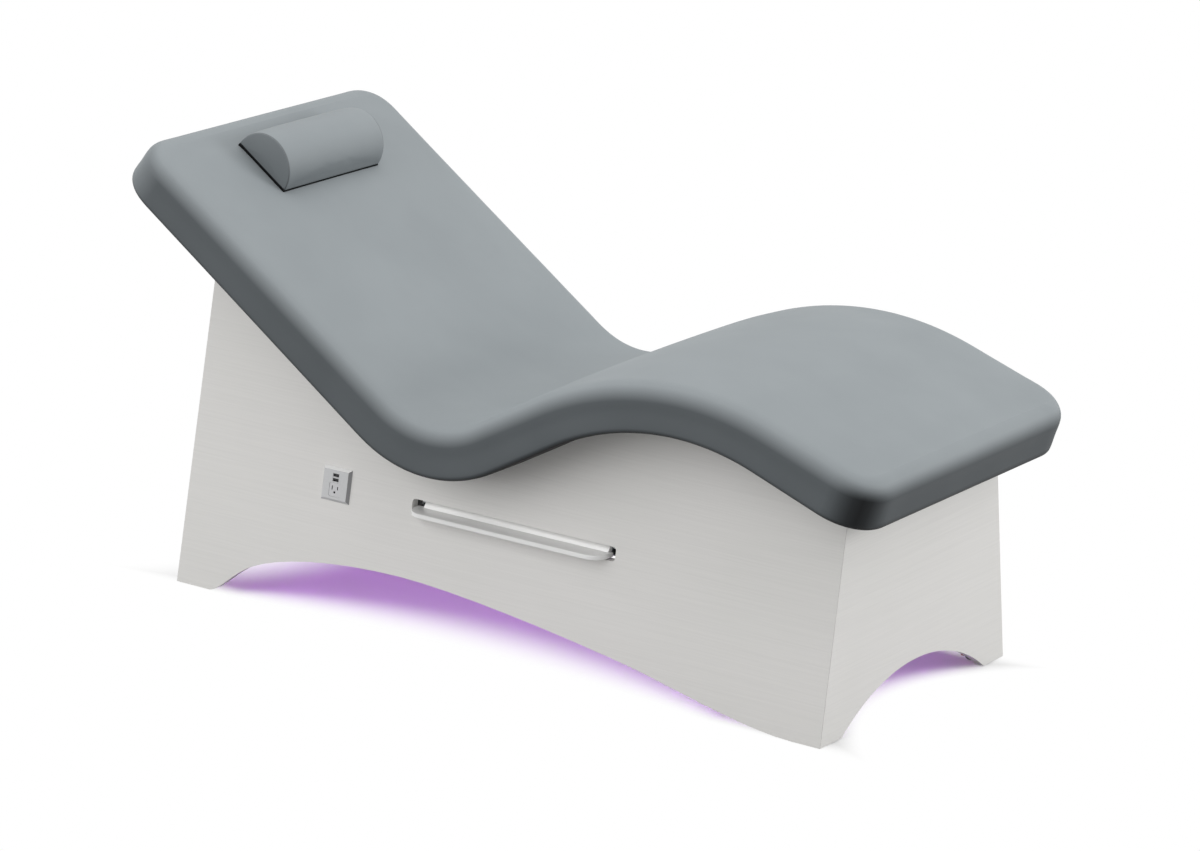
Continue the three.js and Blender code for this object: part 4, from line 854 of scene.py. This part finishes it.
# The insert is black inside its slots, from a little below its face, as painted shade. Its
# largest polygon is its back, which faces into the base.
slot_starts = 0.0005
slot_black = 0.0010
outlet_core = nodes["outlet_core"].data
out_of_panel = -max(outlet_core.polygons, key=lambda face: face.area).normal
socket_face = max(v.co.dot(out_of_panel) for v in outlet_core.vertices)
how_far_out = add_node(tree, "ShaderNodeVectorMath", {
    0: place, 1: out_of_panel}, operation="DOT_PRODUCT")
at_face = add_node(tree, "ShaderNodeMapRange", {
    "Value": how_far_out.outputs["Value"], "From Min": socket_face - slot_black,
    "From Max": socket_face - slot_starts})
socket_colour = add_node(tree, "ShaderNodeMix", {
    "Factor": at_face.outputs["Result"], 6: linear("#141416"), 7: spark_colour.outputs[0]},
    data_type="RGBA")
socket_skin = add_node(tree, "ShaderNodeBsdfPrincipled", {
    "Base Color": socket_colour.outputs[2], "Roughness": 0.45, "IOR": 1.58,
    "Normal": spark_bump.outputs[0]})
add_node(tree, "ShaderNodeOutputMaterial", {"Surface": socket_skin.outputs[0]})
dress(socket_plastic, "outlet_core")


# Outlet housing, power inlet and leads. Glass-filled nylon and soft PVC, both black: the nylon
# moulded with a matt grain, the PVC drawn over the wires with a dull waxy shine. The grain is some
# 0.1 mm, too fine to show, and is drawn at 0.7 mm.
grain_size = 0.0007
black_nylon, tree, place = new_material("moulded_glass_filled_nylon")
grain = add_node(tree, "ShaderNodeTexNoise", {
    "Vector": place, "Scale": 1 / grain_size, "Detail": 2.0})
grain_colour = add_node(tree, "ShaderNodeValToRGB", {"Fac": grain.outputs["Fac"]}, stops=[
    (0.3, linear("#1B1C1E")), (0.7, linear("#252628"))])
grain_bump = add_node(tree, "ShaderNodeBump", {
    "Height": grain.outputs["Fac"], "Strength": 0.12, "Distance": 0.0002})
nylon_skin = add_node(tree, "ShaderNodeBsdfPrincipled", {
    "Base Color": grain_colour.outputs[0], "Roughness": 0.5, "IOR": 1.53,
    "Normal": grain_bump.outputs[0]})
add_node(tree, "ShaderNodeOutputMaterial", {"Surface": nylon_skin.outputs[0]})
dress(black_nylon, "outlet_housing", "power_inlet")

# The PVC's shine comes and goes along a lead as it was drawn.
sheath_wave = 0.012
lead_sheath, tree, place = new_material("drawn_soft_pvc")
waxy = add_node(tree, "ShaderNodeTexNoise", {
    "Vector": place, "Scale": 1 / sheath_wave, "Detail": 2.0})
waxy_rough = add_node(tree, "ShaderNodeMapRange", {
    "Value": waxy.outputs["Fac"], "To Min": 0.38, "To Max": 0.55})
waxy_colour = add_node(tree, "ShaderNodeValToRGB", {"Fac": waxy.outputs["Fac"]}, stops=[
    (0.3, linear("#18191A")), (0.7, linear("#1F2022"))])
sheath_skin = add_node(tree, "ShaderNodeBsdfPrincipled", {
    "Base Color": waxy_colour.outputs[0], "Roughness": waxy_rough.outputs["Result"],
    "IOR": 1.54})
add_node(tree, "ShaderNodeOutputMaterial", {"Surface": sheath_skin.outputs[0]})
dress(lead_sheath, "outlet_lead", "inlet_lead", "driver_lead", "led_lead",
      "led_link_near_head", "led_link_near_foot", "led_link_far_head")


# Mains box, its lid and the lighting driver. Cases of white flame-proof ABS, moulded and screwed
# to the panels, with a satin grain: some 0.1 mm, too fine to show, and drawn at 0.8 mm.
case_grain = 0.0008
white_abs, tree, place = new_material("moulded_white_abs")
case_texture = add_node(tree, "ShaderNodeTexNoise", {
    "Vector": place, "Scale": 1 / case_grain, "Detail": 2.0})
case_colour = add_node(tree, "ShaderNodeValToRGB", {"Fac": case_texture.outputs["Fac"]}, stops=[
    (0.3, linear("#E4E3DF")), (0.7, linear("#ECEBE8"))])
case_bump = add_node(tree, "ShaderNodeBump", {
    "Height": case_texture.outputs["Fac"], "Strength": 0.1, "Distance": 0.0002})
case_skin = add_node(tree, "ShaderNodeBsdfPrincipled", {
    "Base Color": case_colour.outputs[0], "Roughness": 0.48, "IOR": 1.54,
    "Normal": case_bump.outputs[0]})
add_node(tree, "ShaderNodeOutputMaterial", {"Surface": case_skin.outputs[0]})
dress(white_abs, "mains_box", "mains_box_lid", "led_driver")


# Lighting under the base. Channels of extruded, anodised aluminium, screwed along the panels,
# hold a white circuit tape behind an opal polycarbonate cover, lit lilac, which throws the glow
# on the floor.

# The die leaves fine lines that dull the metal. They lie some 0.1 mm apart, too fine to show, and
# are drawn at 0.5 mm.
die_line = 0.0005
anodised, tree, place = new_material("extruded_anodised_aluminium")
die_lines = add_node(tree, "ShaderNodeTexNoise", {
    "Vector": place, "Scale": 1 / die_line, "Detail": 1.0})
anodised_rough = add_node(tree, "ShaderNodeMapRange", {
    "Value": die_lines.outputs["Fac"], "To Min": 0.32, "To Max": 0.45})
anodised_colour = add_node(tree, "ShaderNodeValToRGB", {"Fac": die_lines.outputs["Fac"]}, stops=[
    (0.3, linear("#C4C7CA")), (0.7, linear("#CDD0D2"))])
anodised_skin = add_node(tree, "ShaderNodeBsdfPrincipled", {
    "Base Color": anodised_colour.outputs[0], "Metallic": 1.0,
    "Roughness": anodised_rough.outputs["Result"]})
add_node(tree, "ShaderNodeOutputMaterial", {"Surface": anodised_skin.outputs[0]})

# 60 chips sit on each metre of tape, each a yellow dot in the white.
chip_pitch = 0.0167
circuit_tape, tree, place = new_material("white_circuit_tape_with_chips")
chips = add_node(tree, "ShaderNodeTexVoronoi", {"Vector": place, "Scale": 1 / chip_pitch})
chip_colour = add_node(tree, "ShaderNodeValToRGB", {"Fac": chips.outputs["Distance"]}, stops=[
    (0.18, linear("#E8C94A")), (0.24, linear("#EDEDEA"))])
tape_skin = add_node(tree, "ShaderNodeBsdfPrincipled", {
    "Base Color": chip_colour.outputs[0], "Roughness": 0.45})
add_node(tree, "ShaderNodeOutputMaterial", {"Surface": tape_skin.outputs[0]})

# The opal cover is milky, so its light is soft and nearly even along it.
glow_colour = linear("#BF6CE9")
cover_strength = 11.0
haze_size = 0.03
haze_depth = 0.1
opal_cover, tree, place = new_material("lit_opal_polycarbonate")
haze = add_node(tree, "ShaderNodeTexNoise", {
    "Vector": place, "Scale": 1 / haze_size, "Detail": 1.0})
haze_strength = add_node(tree, "ShaderNodeMapRange", {
    "Value": haze.outputs["Fac"], "To Min": (1 - haze_depth) * cover_strength,
    "To Max": (1 + haze_depth) * cover_strength})
opal_skin = add_node(tree, "ShaderNodeBsdfPrincipled", {
    "Base Color": linear("#E9DDF6"), "Roughness": 0.4, "IOR": 1.58,
    "Emission Color": glow_colour, "Emission Strength": haze_strength.outputs["Result"]})
add_node(tree, "ShaderNodeOutputMaterial", {"Surface": opal_skin.outputs[0]})
for face in ("near", "far", "foot", "head"):
    dress(anodised, "led_channel_" + face)
    dress(circuit_tape, "led_strip_" + face)
    dress(opal_cover, "led_diffuser_" + face)

# The soft light that comes back down from the deck is one plain lilac lamp.
bounce = add_softbox("lilac_bounce_under_deck", place=(-0.1, 0, 0.2), aim=(-0.1, 0, 0),
                     size=(1.1, 0.34), power=0.95, colour=glow_colour[:3])
bounce.visible_camera = bounce.visible_glossy = False
